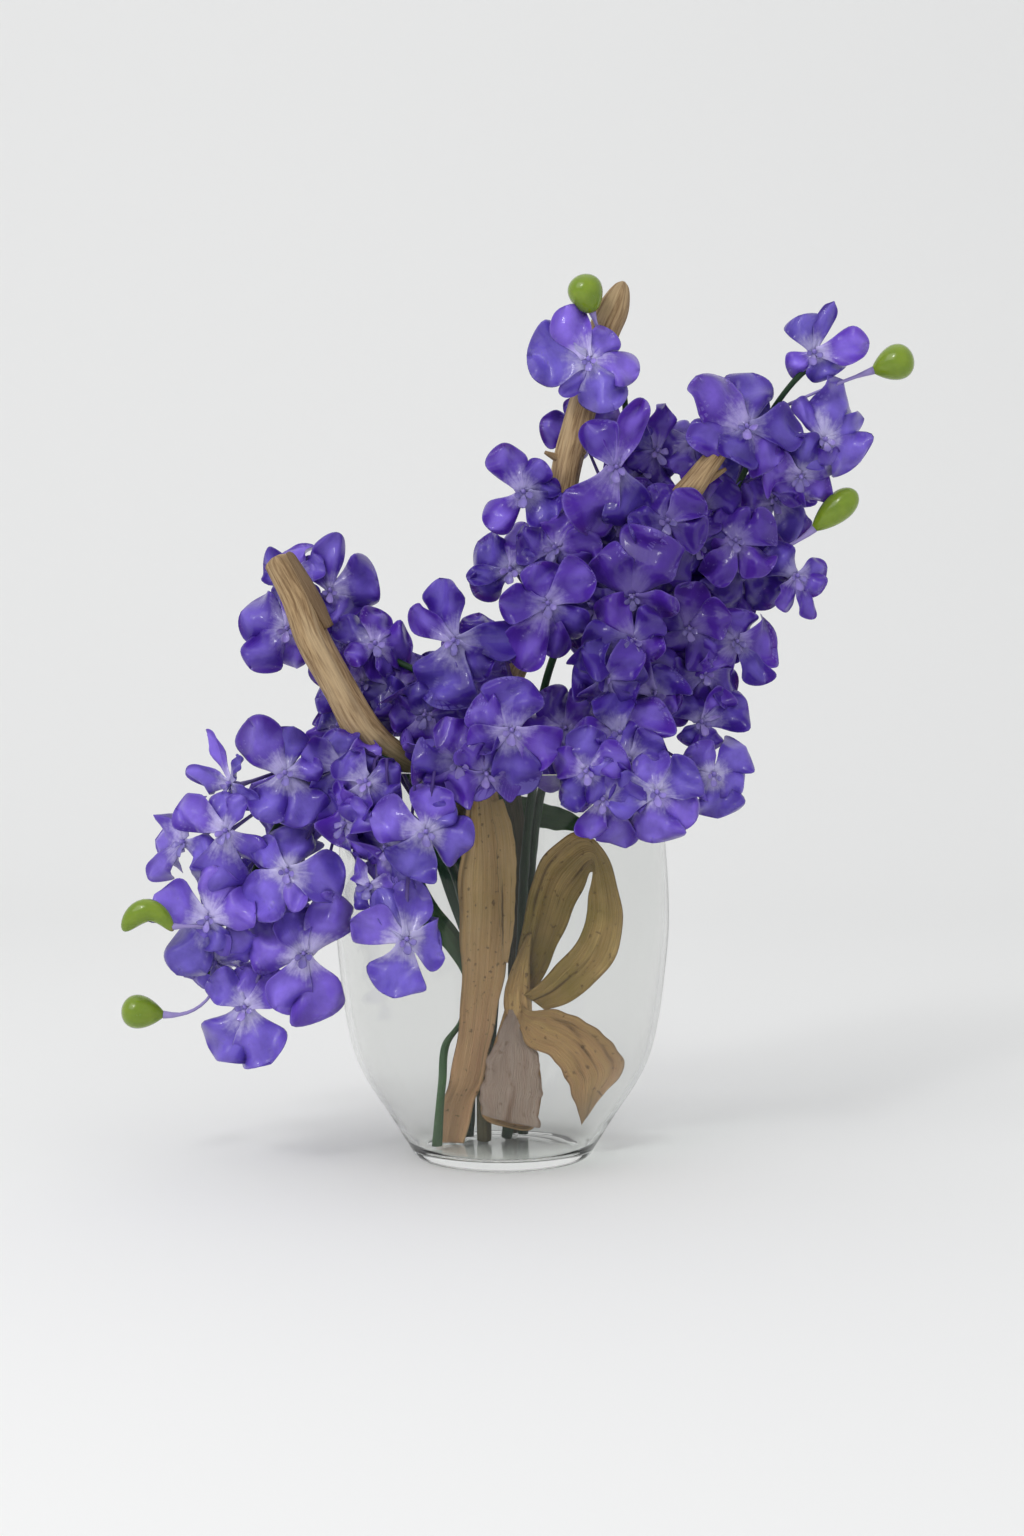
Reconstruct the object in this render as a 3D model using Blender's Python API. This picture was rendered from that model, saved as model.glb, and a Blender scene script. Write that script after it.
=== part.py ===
# Four sprays of violet orchids, two dry twigs and curled strap leaves in an egg-shaped clear glass vase.
# Tables are in millimetres: x to the right, y away from the front, z up from the middle of the vase's foot.

import math
import random

import bmesh
import bpy
import numpy as np

MM = 0.001
CLEARANCE = 0.4 * MM

# Vase: (radius, height) of the outer wall from foot to rim, wall and floor thickness.
VASE_WALL = ((42, 0), (53, 18), (71.5, 50), (79, 95), (80, 130), (75, 190))
VASE_FOOT_RADIUS = 38
VASE_THICKNESS = 3
VASE_FLOOR = ((50, 18), (44.5, 9.5), (38, 5.6), (0, 5))
VASE_SIDES = 24
VASE_STATIONS = 10
RIM_HEIGHT = VASE_WALL[-1][1]
WALL_GAP = 1.7

# Blooms seen from the front: name, centre x, y, z, way it faces (degrees to the right of the front, degrees up),
# and for each lobe its tip across and up from the centre, its width and its tilt forward in degrees.
LOWER_LEFT_BLOOMS = (
    ("L1", -100, -52, 189, 0, 10,
     ((-16, 22, 19, 10), (3, 23, 14, -5), (17, 3, 11, 25), (12, -23, 22, 0), (-11, -21, 19, 0))),
    ("L2", -127, -36, 183, -60, 0,
     ((-10, 22, 9, 0), (-15, 3, 12, 10), (-2, -14, 11, -5), (10, -9, 10, 10), (5, 14, 10, 0))),
    ("L3", -128, -48, 162, -15, 0,
     ((-27, 10, 17, 0), (-11, -32, 23, 5), (7, 17, 10, -5), (16, -14, 14, -5), (-4, 17, 11, -12))),
    ("L3b", -150, -30, 155, -40, 0, ((-19, -4, 22, 0), (-16, -19, 8, 12), (-8, 14, 14, 0), (15, -4, 13, 0))),
    ("L4", -137, -46, 121, -10, 0,
     ((-23, 12, 21, 5), (5, 24, 17, -5), (23, 4, 17, 0), (-15, -24, 21, 5), (5, -15, 12, 10))),
    ("L5", -99, -56, 144, 0, 10,
     ((-19, -16, 24, 5), (26, -2, 21, 5), (1, 22, 21, -10), (-17, 12, 12, -10), (4, -18, 9, 0))),
    ("L6", -92, -50, 105, 0, 0,
     ((-29, 4, 24, 0), (-10, 18, 17, -8), (15, 27, 20, 5), (12, -29, 23, 0), (-13, -25, 19, 8))),
    ("L7", -120, -46, 79, 0, 10,
     ((-10, -24, 21, 0), (12, -24, 22, 8), (21, 10, 14, -5), (-15, 12, 13, 10), (0, 18, 14, -5))),
    ("L8", -43, -82, 116, 10, 0,
     ((-5, -26, 21, 0), (19, -5, 21, 5), (9, 25, 16, -5), (-24, 10, 18, 0), (-12, 22, 13, -12))),
    ("L8b", -61, -62, 138, -30, 10, ((-10, 11, 11, 0), (-9, -6, 12, 0), (8, -13, 13, 0), (12, 3, 12, 0))),
    ("L9", -34, -86, 165, 5, 0,
     ((3, 20, 18, 0), (21, -6, 20, 5), (-8, -20, 21, 5), (-25, 5, 18, 0), (14, 11, 11, 15))),
    ("L10", -62, -64, 186, -10, 20,
     ((-15, 11, 18, 10), (14, 8, 13, 0), (-15, -6, 16, 0), (12, -11, 15, 0), (-5, -16, 15, 0))),
)
UPPER_LEFT_BLOOMS = (
    ("M1", -102, -12, 255, -10, 0,
     ((-24, 9, 22, 0), (-17, -17, 19, 8), (2, -19, 12, 0), (21, 8, 16, 0), (6, 17, 14, -8))),
    ("M2", -82, -8, 273, 0, 0,
     ((1, 28, 13, 0), (-12, 16, 10, 0), (22, 5, 22, 5), (7, -14, 17, 0), (-9, -10, 12, -10))),
    ("M3", -60, -22, 248, 10, 15,
     ((4, 16, 15, 0), (17, 0, 19, 5), (-17, 10, 14, 0), (-13, -5, 11, 0), (9, -12, 10, 0))),
    ("M4", -22, -46, 250, -20, 0,
     ((-8, 29, 18, -3), (-20, 15, 13, 7), (-9, -27, 28, 5), (10, -17, 14, -5), (25, 4, 16, -15))),
    ("M5", -36, -34, 215, -10, -10,
     ((-6, 15, 26, 5), (-2, -21, 25, 5), (20, -7, 17, 0), (-17, 1, 16, 0), (12, 12, 14, -10))),
    ("M6", 1, -86, 214, 0, 0,
     ((3, 23, 24, 0), (-18, 10, 17, -5), (-20, -7, 13, 7), (0, -27, 20, 5), (21, -10, 19, 0))),
    ("M8", -78, -10, 209, -20, 0,
     ((-9, 8, 13, 0), (-14, -10, 12, 0), (3, -18, 12, 0), (13, -5, 14, 0), (6, 14, 14, 0))),
)
CENTRE_BLOOMS = (
    ("C1", 40, -32, 380, 0, 0,
     ((-27, 1, 26, 5), (-10, 27, 19, 0), (10, 13, 13, 5), (24, -4, 15, -5), (11, -22, 19, 5), (-11, -17, 8, -10))),
    ("C1b", 37, 6, 352, 0, 0,
     ((-18, 0, 15, 0), (16, 11, 15, 0), (15, -10, 14, 0), (-4, 13, 12, 0), (-5, -17, 14, 0))),
    ("C2", 10, -24, 319, 0, 0,
     ((-9, 22, 16, 0), (-15, -18, 14, 5), (15, -13, 18, 0), (9, 15, 12, 5), (17, 3, 8, 0))),
    ("C3", 53, -36, 330, 0, -5,
     ((-14, 20, 16, 0), (13, 28, 12, 10), (-14, -29, 23, 0), (12, -26, 21, 8), (-1, 21, 10, -10))),
    ("C4", 73, -12, 339, 20, 0,
     ((4, 22, 13, 5), (0, -22, 16, 0), (-11, 9, 12, 0), (12, -9, 12, 0), (-12, -8, 11, 8))),
    ("C5", 4, -18, 283, -10, 0,
     ((-15, 13, 18, 0), (-20, -4, 9, 10), (-17, -11, 13, 0), (6, 22, 13, 0), (16, 5, 14, 0))),
    ("C6", 21, -50, 267, 0, 0,
     ((-12, -30, 18, 0), (-22, 1, 16, 5), (-6, 18, 17, 0), (20, 15, 18, 0), (18, -11, 14, 5), (6, -25, 13, -8))),
    ("C7", 60, -44, 270, 0, -20,
     ((15, 25, 26, 0), (-16, 19, 19, 0), (-19, -6, 14, 0), (20, -6, 16, 0), (4, -19, 16, 0))),
)
RIGHT_BLOOMS = (
    ("C8", 60, -48, 250, 0, -10,
     ((-24, -2, 22, 5), (-15, 18, 16, -5), (10, -10, 15, 0), (-8, -23, 20, 0), (14, 9, 16, 0))),
    ("C9", 47, -50, 233, -20, -15,
     ((-6, -17, 19, 0), (-16, -1, 16, 0), (-9, 15, 16, -5), (17, 8, 16, 0), (10, -16, 16, 8))),
    ("C10", 54, -58, 208, 0, 5, ((-22, -4, 21, 5), (12, -12, 18, 0), (20, 12, 19, -5), (-4, 19, 18, 0))),
    ("C10b", 71, -34, 225, 10, -10, ((-14, 14, 16, 0), (8, 11, 16, 0), (11, -8, 16, 0), (-7, -14, 16, 0))),
    ("C11", 70, -76, 182, 5, 0,
     ((-23, -3, 19, 0), (-1, -22, 20, 5), (18, -13, 16, -3), (20, 8, 18, 5), (-7, 16, 16, -5))),
    ("C12", 46, -74, 179, -20, -15,
     ((4, -28, 14, 0), (-7, -17, 12, 8), (-9, 4, 14, 0), (4, 18, 15, -5), (17, 0, 14, -10))),
    ("C13", 30, -14, 194, 0, 0,
     ((10, -27, 16, 0), (-12, -13, 16, 0), (-14, 6, 15, 0), (2, 28, 16, 0), (16, 6, 15, 0))),
    ("R1", 114, -28, 349, 0, 15,
     ((-22, 21, 24, 0), (6, 32, 21, -5), (-26, -6, 17, 0), (26, -2, 17, 0), (-8, -15, 18, 8), (15, -15, 19, 5))),
    ("R2", 147, -12, 385, 0, 0,
     ((-7, 18, 16, 0), (8, 24, 8, 0), (24, 2, 15, 5), (-11, -7, 10, 0), (5, -13, 17, 0))),
    ("R3", 152, -14, 344, 15, 0,
     ((11, 27, 22, 0), (24, 9, 10, 8), (19, -11, 21, 0), (-13, 17, 9, -5), (-9, -13, 11, 0))),
    ("R6", 140, -8, 280, 15, 0,
     ((16, 5, 12, 0), (11, -7, 11, 8), (8, -20, 9, 0), (-8, -16, 11, 0), (-11, 13, 17, 0))),
    ("R8", 111, -14, 249, 15, 0,
     ((20, -3, 22, 0), (4, 15, 19, -5), (12, -19, 11, 8), (-11, -20, 17, 0), (-18, 1, 14, 0))),
    ("R10", 94, -20, 211, 10, 0,
     ((24, 8, 15, 5), (5, -13, 14, 15), (-8, -9, 10, 0), (-6, 13, 16, 0), (11, 15, 12, -5))),
    ("R11", 99, -32, 187, 10, 0,
     ((18, 13, 15, 0), (16, -8, 17, 8), (3, -21, 20, 0), (-10, -5, 14, 0), (-7, 13, 14, -5))),
)

# Blooms half hidden among the others or at the back: name, centre x, y, z, way it faces, roll and width.
LOWER_LEFT_FILLERS = (
    ("L11", -72, -56, 166, -60, 0, 0, 40),
    ("L13", -135, -35, 99, -10, -50, 0, 42),
    ("L14", -112, -4, 128, 170, 10, 0, 44),
    ("L15", -100, -2, 168, 150, 0, 20, 44),
)
UPPER_LEFT_FILLERS = (
    ("M3b", -66, -14, 229, -20, 0, 30, 46),
    ("M7", -27, -42, 195, 0, -60, 0, 42),
    ("M9", -100, -2, 280, -20, 10, 0, 34),
    ("M10", -8, -16, 246, 20, 20, 0, 40),
    ("M11", -32, 14, 222, 175, 5, 0, 46),
    ("M12", -76, 14, 246, 170, 0, 0, 44),
)
CENTRE_FILLERS = (
    ("C4b", 90, -6, 344, 20, 30, 0, 36),
    ("C7b", 25, -27, 293, -30, 0, 0, 40),
    ("C14", 44, 26, 304, 170, 5, 0, 46),
)
RIGHT_FILLERS = (
    ("C15", 52, 32, 256, 190, 0, 0, 46),
    ("C16", 66, -6, 300, 0, 0, 20, 44),
    ("R4", 141, -14, 327, 0, -40, 0, 40),
    ("R5", 132, 16, 317, 20, 0, 0, 44),
    ("R7", 115, -4, 284, 0, 0, 0, 46),
    ("R9", 88, -22, 255, 0, -10, 0, 40),
    ("R10b", 84, -10, 232, 0, 0, 15, 44),
    ("R12", 102, 4, 269, 0, 0, 30, 40),
    ("R13", 94, -14, 312, 0, -20, 0, 42),
    ("R14", 122, 20, 345, 165, 0, 0, 46),
    ("R15", 92, 34, 284, 180, 0, 0, 46),
)

# Buds: name, middle x, y, z, way its tip points (x, y, z), length, width.
LOWER_LEFT_BUDS = (
    ("bud_left", -164, -44, 123, (-1.0, 0.0, -0.5), 24, 15),
    ("bud_low", -168, -40, 76, (-1.0, 0.0, 0.12), 21, 16),
)
CENTRE_BUDS = (("bud_top", 39, -24, 410, (-0.35, -0.2, 1.0), 20, 16.5),)
RIGHT_BUDS = (
    ("bud_right", 184, -10, 380, (1.0, 0.0, 0.35), 21, 17),
    ("bud_right_low", 158, -4, 311, (1.0, -0.1, 0.9), 28, 14),
)

# Stems: points along the middle, from the vase's floor to the last bloom, and the first that flowers grow from.
LOWER_LEFT_STEM = (
    (-17, 14, 6.2), (-14, 11, 74), (-19, 4, 122), (-31, -12, 156), (-43, -35, 181), (-55, -47, 198),
    (-72, -49, 200), (-92, -42, 186), (-112, -28, 152), (-126, -24, 118), (-140, -24, 92),
)
UPPER_LEFT_STEM = (
    (-10, 20, 6.2), (-4, 19, 74), (-1, 16, 122), (0, 12, 160), (-3, 2, 190), (-14, -10, 212),
    (-32, -16, 230), (-58, -12, 244), (-78, -6, 258), (-92, 0, 268),
)
CENTRE_STEM = (
    (2, 12, 6.2), (7, 3, 50), (8, 0.5, 76), (9, 3, 100), (10, 8, 128), (12, 10, 155), (16, 6, 190), (20, 2, 226), (32, -1, 262),
    (46, 1, 300), (56, -3, 338), (59, -16, 360), (54, -27, 372), (45, -30, 383),
)
RIGHT_STEM = (
    (10, 20, 6.2), (12, 18, 74), (13, 17, 118), (16, 16, 158), (24, 14, 190), (48, 10, 222), (76, 8, 256),
    (98, 8, 292), (116, 4, 330), (127, 0, 356), (141, -5, 375), (152, -8, 381),
)
FIRST_FLOWERS = {"lower_left": 5, "upper_left": 5, "centre": 7, "right": 4}
STEM_RADII = (2.4, 1.3)
STEM_SIDES = 5
PEDICEL_RADIUS = 0.9
PEDICEL_SIDES = 3
BACKWARD_GROWTH = 12
ROOT_SCATTER = 8
RIM_CROSSING = 7

# The star of a half-hidden bloom: angle, length and width against half its width, tilt in degrees.
STAR = ((90, 0.96, 0.82, -4), (162, 1.0, 0.9, 7), (233, 1.04, 0.88, -2), (307, 1.04, 0.88, -2), (18, 1.0, 0.9, 7))
LOBE_STATIONS = (0.34, 0.68, 0.92)
STAR_STATIONS = (0.4, 0.82)
FULLNESS = 1.14
LOBE_SHOULDER = 0.62
CLAW_WIDTH = 0.2
CLAW_SHAPE = 2.1
LOBE_THICKNESS = 0.95
LOBE_BOW = -0.12
LOBE_CURL = -0.16
CLOSE_TILT = 7
NEIGHBOUR_SHARE = 0.94
HUB_RADIUS = 3.0
COLUMN_HEIGHT = 2.6
HUB_DEPTH = 1.5
BUD_RINGS = 4
BUD_SIDES = 7

# Twigs: points along the middle with the radius there.
TWIG_LEFT = (
    (-9, 5, 6.2, 3.5), (-9, 1, 80, 4.2), (-9, -3, 130, 5.0), (-18, -11, 164, 5.6), (-33, -22, 183, 6.4),
    (-49, -29, 194, 7.2), (-60, -30, 202, 8.2), (-69, -30, 214, 8.2), (-79, -30, 232, 7.8),
    (-89, -30, 251, 7.8), (-96, -30, 270, 7.4), (-106, -30, 289, 6.4),
)
TWIG_LEFT_STRAND = ((-84, -28, 248, 3.0), (-90, -25, 268, 3.6), (-101, -26, 290, 2.4))
TWIG_CENTRE = (
    (4, 24, 6.0, 3.2), (6, 23, 80, 3.6), (8, 22, 140, 4.0), (3, 16, 188, 4.6), (4, 9, 226, 5.0),
    (12, 0, 247, 5.2), (20, -7, 270, 5.8), (26, -12, 300, 6.4), (31, -13, 332, 6.8), (39, -13, 364, 6.6),
    (47, -14, 392, 7.2), (53, -14, 408, 7.0), (56, -14, 415, 4.8),
)
TWIG_CENTRE_BRANCH = (
    (22, -8, 268, 3.6), (40, -10, 285, 4.2), (53, -11, 303, 4.6), (68, -15, 310, 4.8), (84, -20, 316, 6.2),
    (97, -22, 332, 5.0), (108, -20, 346, 3.2),
)
TWIG_SPURS = (((31, -13, 334), (20, -16, 337), 3.0), ((31, -13, 334), (39, -17, 337), 3.2),
              ((29, -12, 320), (22, -17, 323), 2.4), ((90, -21, 322), (105, -22, 329), 3.0))
TWIG_SIDES = 7

# Leaves: the two edges at each station, as (x, y, z), from the foot or neck outward.
TALL_LEAF = (
    ((-33, -1, 6.0), (-19, 2, 5.8)), ((-30, -3, 24), (-14.5, 0, 24)), ((-25, -5, 38), (-9, -4, 38)),
    ((-21, -9, 66), (-3, -7, 66)), ((-20, -13, 104), (3, -10, 104)), ((-20, -18, 140), (6, -14, 140)),
    ((-17.5, -23, 168), (0, -20, 168)), ((-16, -28, 188), (-6, -26, 188)),
)
LOOP_LEAF = (
    ((1, -2, 78), (14, -6, 82)), ((3, -3, 97), (18, -7, 97)), ((9, -5, 120), (29, -8, 122)),
    ((17, -7, 144), (39, -10, 138)), ((32, -10, 157), (43, -13, 150)), ((43, -15, 155), (45, -17, 146)),
    ((52, -20, 142), (39, -20, 132)), ((57, -22, 118), (37, -21, 112)), ((51, -21, 95), (29, -19, 97)),
    ((34, -18, 78), (17, -16, 86)), ((20, -15, 73), (10, -13, 80)),
)
RING_LEAF = (
    ((2, -7, 74), (11, -7, 74)), ((-4, -8, 56), (5, -8, 58)), ((-8, -9, 40), (0, -9, 43)),
    ((-10, -10, 22), (-1, -10, 27)), ((2, -11, 16), (2, -11, 25)), ((14, -12, 15), (9, -12, 24)),
    ((18, -13, 26), (11, -13, 28)), ((18, -14, 44), (11.5, -14, 44)), ((12, -14, 59), (7, -14, 62)),
    ((10, -14, 72), (5, -14, 73)),
)
LOW_LEAF = (
    ((6, -10, 79), (5, -11, 72)), ((13, -17, 69), (11, -19, 56)), ((24, -19, 69), (18, -21, 52)), ((38, -19, 66), (27, -22, 47)),
    ((52, -16, 55), (31, -22, 39)), ((59, -13, 45), (34, -21, 32)), ((49, -13, 33), (36, -19, 25)),
    ((41, -14, 22), (38, -16, 18)),
)
DRIED_NECK = ((9, -10, 67, 5.0), (8, -8.2, 73, 6.6), (7.5, -7.4, 79, 6.4), (8, -7, 86, 4.6))
DRIED_NECK_SIDES = 9
GREEN_OUTER = (
    ((-29, -10, 6.0), (-34, -11, 6.1)), ((-28, -11, 27), (-32, -12, 27)), ((-27, -8, 38), (-31, -8, 38)),
    ((-25.5, -1, 54), (-29.5, -2, 54)), ((-16, 2, 68), (-21, 2, 66)), ((-13, 6, 88), (-19, 5, 84)),
    ((-21, 6, 107), (-27, 5, 98)), ((-31, 5, 120), (-38, 4, 110)), ((-40, 5, 136), (-47, 4, 127)),
    ((-47, 6, 152), (-56, 5, 144)),
)
GREEN_INNER = (
    ((-24, 24, 6.0), (-27, 23, 6.1)), ((-17, 26, 40), (-20, 26, 40)), ((-8, 27, 66), (-12, 27, 66)),
    ((-10, 28, 88), (-16, 27, 88)), ((-14, 29, 106), (-22, 28, 106)),
    ((-16, 30, 128), (-30, 29, 128)), ((-17, 31, 150), (-37, 30, 150)), ((-16, 31, 172), (-44, 30, 172)),
    ((-18, 29, 188), (-40, 28, 188)),
)
GREEN_RIGHT = (
    ((-15.3, 31, 170), (-15.8, 31, 161)), ((-3, 31, 172), (-1, 31, 160)), ((9, 30, 172), (8, 31, 157)), ((18, 29, 169), (17, 31, 156)),
    ((27, 27, 167), (25, 29, 155)), ((36, 24, 163), (33, 26, 155)), ((45, 19, 157), (44, 20, 152)),
)
LEAF_THICKNESS = {"tall": 1.1, "loop": 1.1, "ring": 1.0, "low": 1.1, "outer": 0.9, "inner": 0.9, "right": 0.9}
LEAF_CHANNEL = 0.14


def smooth_path(points, count):
    # A Catmull-Rom curve through the points, read at evenly spaced places along it.
    points = np.array(points, float)
    padded = np.vstack([2 * points[0] - points[1], points, 2 * points[-1] - points[-2]])
    spans = len(points) - 1
    at = np.linspace(0, spans, max(count, 2) * 8)
    span = np.minimum(at.astype(int), spans - 1)
    t = (at - span)[:, None]
    p0, p1, p2, p3 = (padded[span + k] for k in range(4))
    curve = 0.5 * (2 * p1 + (p2 - p0) * t + (2 * p0 - 5 * p1 + 4 * p2 - p3) * t**2
                   + (3 * p1 - p0 - 3 * p2 + p3) * t**3)
    length = np.concatenate([[0], np.cumsum(np.linalg.norm(np.diff(curve, axis=0), axis=1))])
    even = np.linspace(0, length[-1], count)
    return np.stack([np.interp(even, length, column) for column in curve.T], axis=1)


VASE_OUTER = smooth_path(VASE_WALL, VASE_STATIONS)


def outer_radius(height):
    return np.interp(height, VASE_OUTER[:, 1], VASE_OUTER[:, 0])


def inner_radius(height):
    floor_radii, floor_heights = zip(*reversed(VASE_FLOOR))
    low = np.interp(height, floor_heights, floor_radii)
    return np.where(np.asarray(height) > VASE_FLOOR[0][1], outer_radius(height) - VASE_THICKNESS, low)


def clear_of_vase(points, outside):
    # Points below the rim move along their radius until they clear the wall, outside or inside it.
    radius = np.maximum(np.hypot(points[:, 0], points[:, 1]), 1e-6)
    height = np.clip(points[:, 2], 0, RIM_HEIGHT)
    if outside:
        wanted = np.maximum(radius, outer_radius(height) + WALL_GAP)
    else:
        wanted = np.minimum(radius, inner_radius(height) - WALL_GAP)
    wanted = np.where(points[:, 2] < RIM_HEIGHT + WALL_GAP, wanted, radius)
    points[:, :2] *= (wanted / radius)[:, None]
    return points


def is_outside(x, y, z):
    return math.hypot(x, y) > outer_radius(min(z, RIM_HEIGHT))


def make_object(name, points, faces, materials, slot=0):
    # Points are in millimetres, faces are outward loops that all take the material in one slot.
    mesh = bpy.data.meshes.new(name)
    mesh.from_pydata((np.asarray(points) * MM).tolist(), [], faces)
    for material in materials:
        mesh.materials.append(material)
    mesh.polygons.foreach_set("material_index", [slot] * len(faces))
    made = bpy.data.objects.new(name, mesh)
    bpy.context.collection.objects.link(made)
    return made


def make_material(name, colour, roughness, metallic=0.0, transmission=0.0):
    material = bpy.data.materials.new(name)
    material.use_nodes = True
    shader = material.node_tree.nodes["Principled BSDF"]
    shader.inputs["Base Color"].default_value = (*colour, 1)
    shader.inputs["Roughness"].default_value = roughness
    shader.inputs["Metallic"].default_value = metallic
    shader.inputs["Transmission Weight"].default_value = transmission
    return material


def unit(vector):
    return vector / np.linalg.norm(vector)


def tube(path, radii, sides):
    # A closed tube of flat-sided rings set square to the path, with its ends capped.
    path = np.array(path, float)
    tangents = np.gradient(path, axis=0)
    side = unit(np.cross(tangents[0], (0.31, 0.95, 0.12)))
    turns = np.arange(sides) * math.tau / sides
    points, faces = [], []
    for centre, tangent, radius in zip(path, tangents, radii):
        tangent = unit(tangent)
        side = unit(side - tangent * side.dot(tangent))
        up = np.cross(tangent, side)
        points += [centre + radius * (math.cos(a) * side + math.sin(a) * up) for a in turns]
    for ring in range(len(path) - 1):
        for k in range(sides):
            a, b = ring * sides + k, ring * sides + (k + 1) % sides
            faces += [(a, b, b + sides), (a, b + sides, a + sides)]
    last = len(points) - sides
    faces.append(tuple(reversed(range(sides))))
    faces.append(tuple(range(last, last + sides)))
    return np.array(points), faces


def facing(azimuth, elevation):
    # Unit vectors of a bloom: its own right, its own up and the way it faces.
    azimuth, elevation = math.radians(azimuth), math.radians(elevation)
    out = np.array((math.sin(azimuth) * math.cos(elevation), -math.cos(azimuth) * math.cos(elevation),
                    math.sin(elevation)))
    right = np.array((math.cos(azimuth), math.sin(azimuth), 0))
    return right, np.cross(out, right), out


def seen_lobes(azimuth, elevation, tips):
    # Angle, length, width and tilt of each lobe, with what the facing foreshortens drawn out again.
    lobes = []
    for across, up, width, tilt in tips:
        across, up = across / math.cos(math.radians(azimuth)), up / math.cos(math.radians(elevation))
        lobes.append((math.atan2(up, across) % math.tau, math.hypot(across, up), width * FULLNESS, tilt))
    return lobes


def star_lobes(name, roll, width):
    draw = random.Random(name)
    return [(math.radians(angle + roll + draw.uniform(-5, 5)) % math.tau,
             length * width / 2 * draw.uniform(0.9, 1.06), breadth * width / 2 * draw.uniform(0.86, 1.0),
             tilt + draw.uniform(-3, 3)) for angle, length, breadth, tilt in STAR]


def lobe_width(along):
    # Half width from the claw, out to the broad shoulder and round the end, as a share of the widest.
    if along <= LOBE_SHOULDER:
        return CLAW_WIDTH + (1 - CLAW_WIDTH) * math.sin(math.pi / 2 * along / LOBE_SHOULDER) ** CLAW_SHAPE
    return math.sqrt(max(0.0, 1 - ((along - LOBE_SHOULDER) / (1 - LOBE_SHOULDER)) ** 2))


def side_room(gap, tilt_gap, radius, by_hub):
    # How far a lobe may spread at this radius before it meets a neighbour that lies at the same tilt.
    if tilt_gap >= CLOSE_TILT and not by_hub:
        return math.inf
    return radius * math.tan(min(gap / 2, math.radians(80))) * NEIGHBOUR_SHARE


def bloom(name, centre, azimuth, elevation, lobes, stations, grow=0.0):
    # Ridged blades that leave the sides of one small hub, in a single closed mesh.
    right, up, out = facing(azimuth, elevation)
    draw = random.Random(name)
    lobes = sorted(lobes)
    count = len(lobes)
    gaps = [(lobes[(k + 1) % count][0] - lobes[k][0]) % math.tau for k in range(count)]
    tilt_gaps = [abs(lobes[(k + 1) % count][3] - lobes[k][3]) for k in range(count)]
    thick = LOBE_THICKNESS + grow
    hub = HUB_RADIUS + grow
    local, faces = [(0, 0, COLUMN_HEIGHT + grow), (0, 0, -HUB_DEPTH - grow)], []
    for k in range(count):
        corner = lobes[k][0] + gaps[k] / 2
        local.append((hub * math.cos(corner), hub * math.sin(corner), -grow))
    for k, (angle, length, width, tilt) in enumerate(lobes):
        along = np.array((math.cos(angle), math.sin(angle), 0))
        aside = np.array((-math.sin(angle), math.cos(angle), 0))
        slope = math.tan(math.radians(tilt))
        twist = draw.uniform(-0.08, 0.08)
        reach = length + grow
        first, left_corner, right_corner = len(local), 2 + k, 2 + (k - 1) % count
        local.append(along * hub * 0.78 + (0, 0, thick))
        faces += [(0, right_corner, first), (0, first, left_corner), (1, left_corner, right_corner)]
        ring = (first, left_corner, right_corner)
        for station in stations:
            radius = HUB_RADIUS + (length - HUB_RADIUS) * station
            widest = width / 2 * lobe_width(station)
            by_hub = station == stations[0]
            left = min(widest, side_room(gaps[k], tilt_gaps[k], radius, by_hub)) + grow
            right_side = min(widest, side_room(gaps[k - 1], tilt_gaps[k - 1], radius, by_hub)) + grow
            middle = along * radius + (0, 0, reach * (slope * station + LOBE_CURL * station**2))
            start = len(local)
            local += [middle + (0, 0, thick),
                      middle + aside * left + (0, 0, (LOBE_BOW + twist) * left - grow),
                      middle - aside * right_side + (0, 0, (LOBE_BOW - twist) * right_side - grow)]
            (t0, l0, r0), (t1, l1, r1) = ring, (start, start + 1, start + 2)
            faces += [(t0, t1, l1), (t0, l1, l0), (t0, r0, r1), (t0, r1, t1), (l0, l1, r1), (l0, r1, r0)]
            ring = (start, start + 1, start + 2)
        tip = len(local)
        local.append(along * reach + (0, 0, reach * (slope + LOBE_CURL)))
        top, left_edge, right_edge = ring
        faces += [(top, tip, left_edge), (top, right_edge, tip), (left_edge, tip, right_edge)]
    local = np.array([np.asarray(p, float) for p in local])
    points = np.array(centre) + local @ np.array((right, up, out))
    return clear_of_vase(points, is_outside(*centre)), faces


def bud(row, grow=0.0):
    # An egg of rings along its own line, narrower at the stalk.
    name, x, y, z, points_to, length, width = row
    axis = unit(np.array(points_to, float))
    side = unit(np.cross(axis, (0.2, 1.0, 0.1)))
    up = np.cross(axis, side)
    turns = np.arange(BUD_SIDES) * math.tau / BUD_SIDES
    points, faces = [], []
    for k in range(1, BUD_RINGS + 1):
        polar = math.pi * k / (BUD_RINGS + 1)
        along = -math.cos(polar) * (length / 2 + grow)
        radius = (width / 2 + grow) * math.sin(polar) * (1 - 0.22 * math.cos(polar))
        points += [axis * along + radius * (math.cos(a) * side + math.sin(a) * up) for a in turns]
    for ring in range(BUD_RINGS - 1):
        for k in range(BUD_SIDES):
            a, b = ring * BUD_SIDES + k, ring * BUD_SIDES + (k + 1) % BUD_SIDES
            faces += [(a, b, b + BUD_SIDES), (a, b + BUD_SIDES, a + BUD_SIDES)]
    base, tip, last = len(points), len(points) + 1, (BUD_RINGS - 1) * BUD_SIDES
    points += [axis * (-length / 2 - grow), axis * (length / 2 + grow)]
    for k in range(BUD_SIDES):
        faces.append((base, (k + 1) % BUD_SIDES, k))
        faces.append((tip, last + k, last + (k + 1) % BUD_SIDES))
    return np.array(points) + (x, y, z), faces


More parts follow.
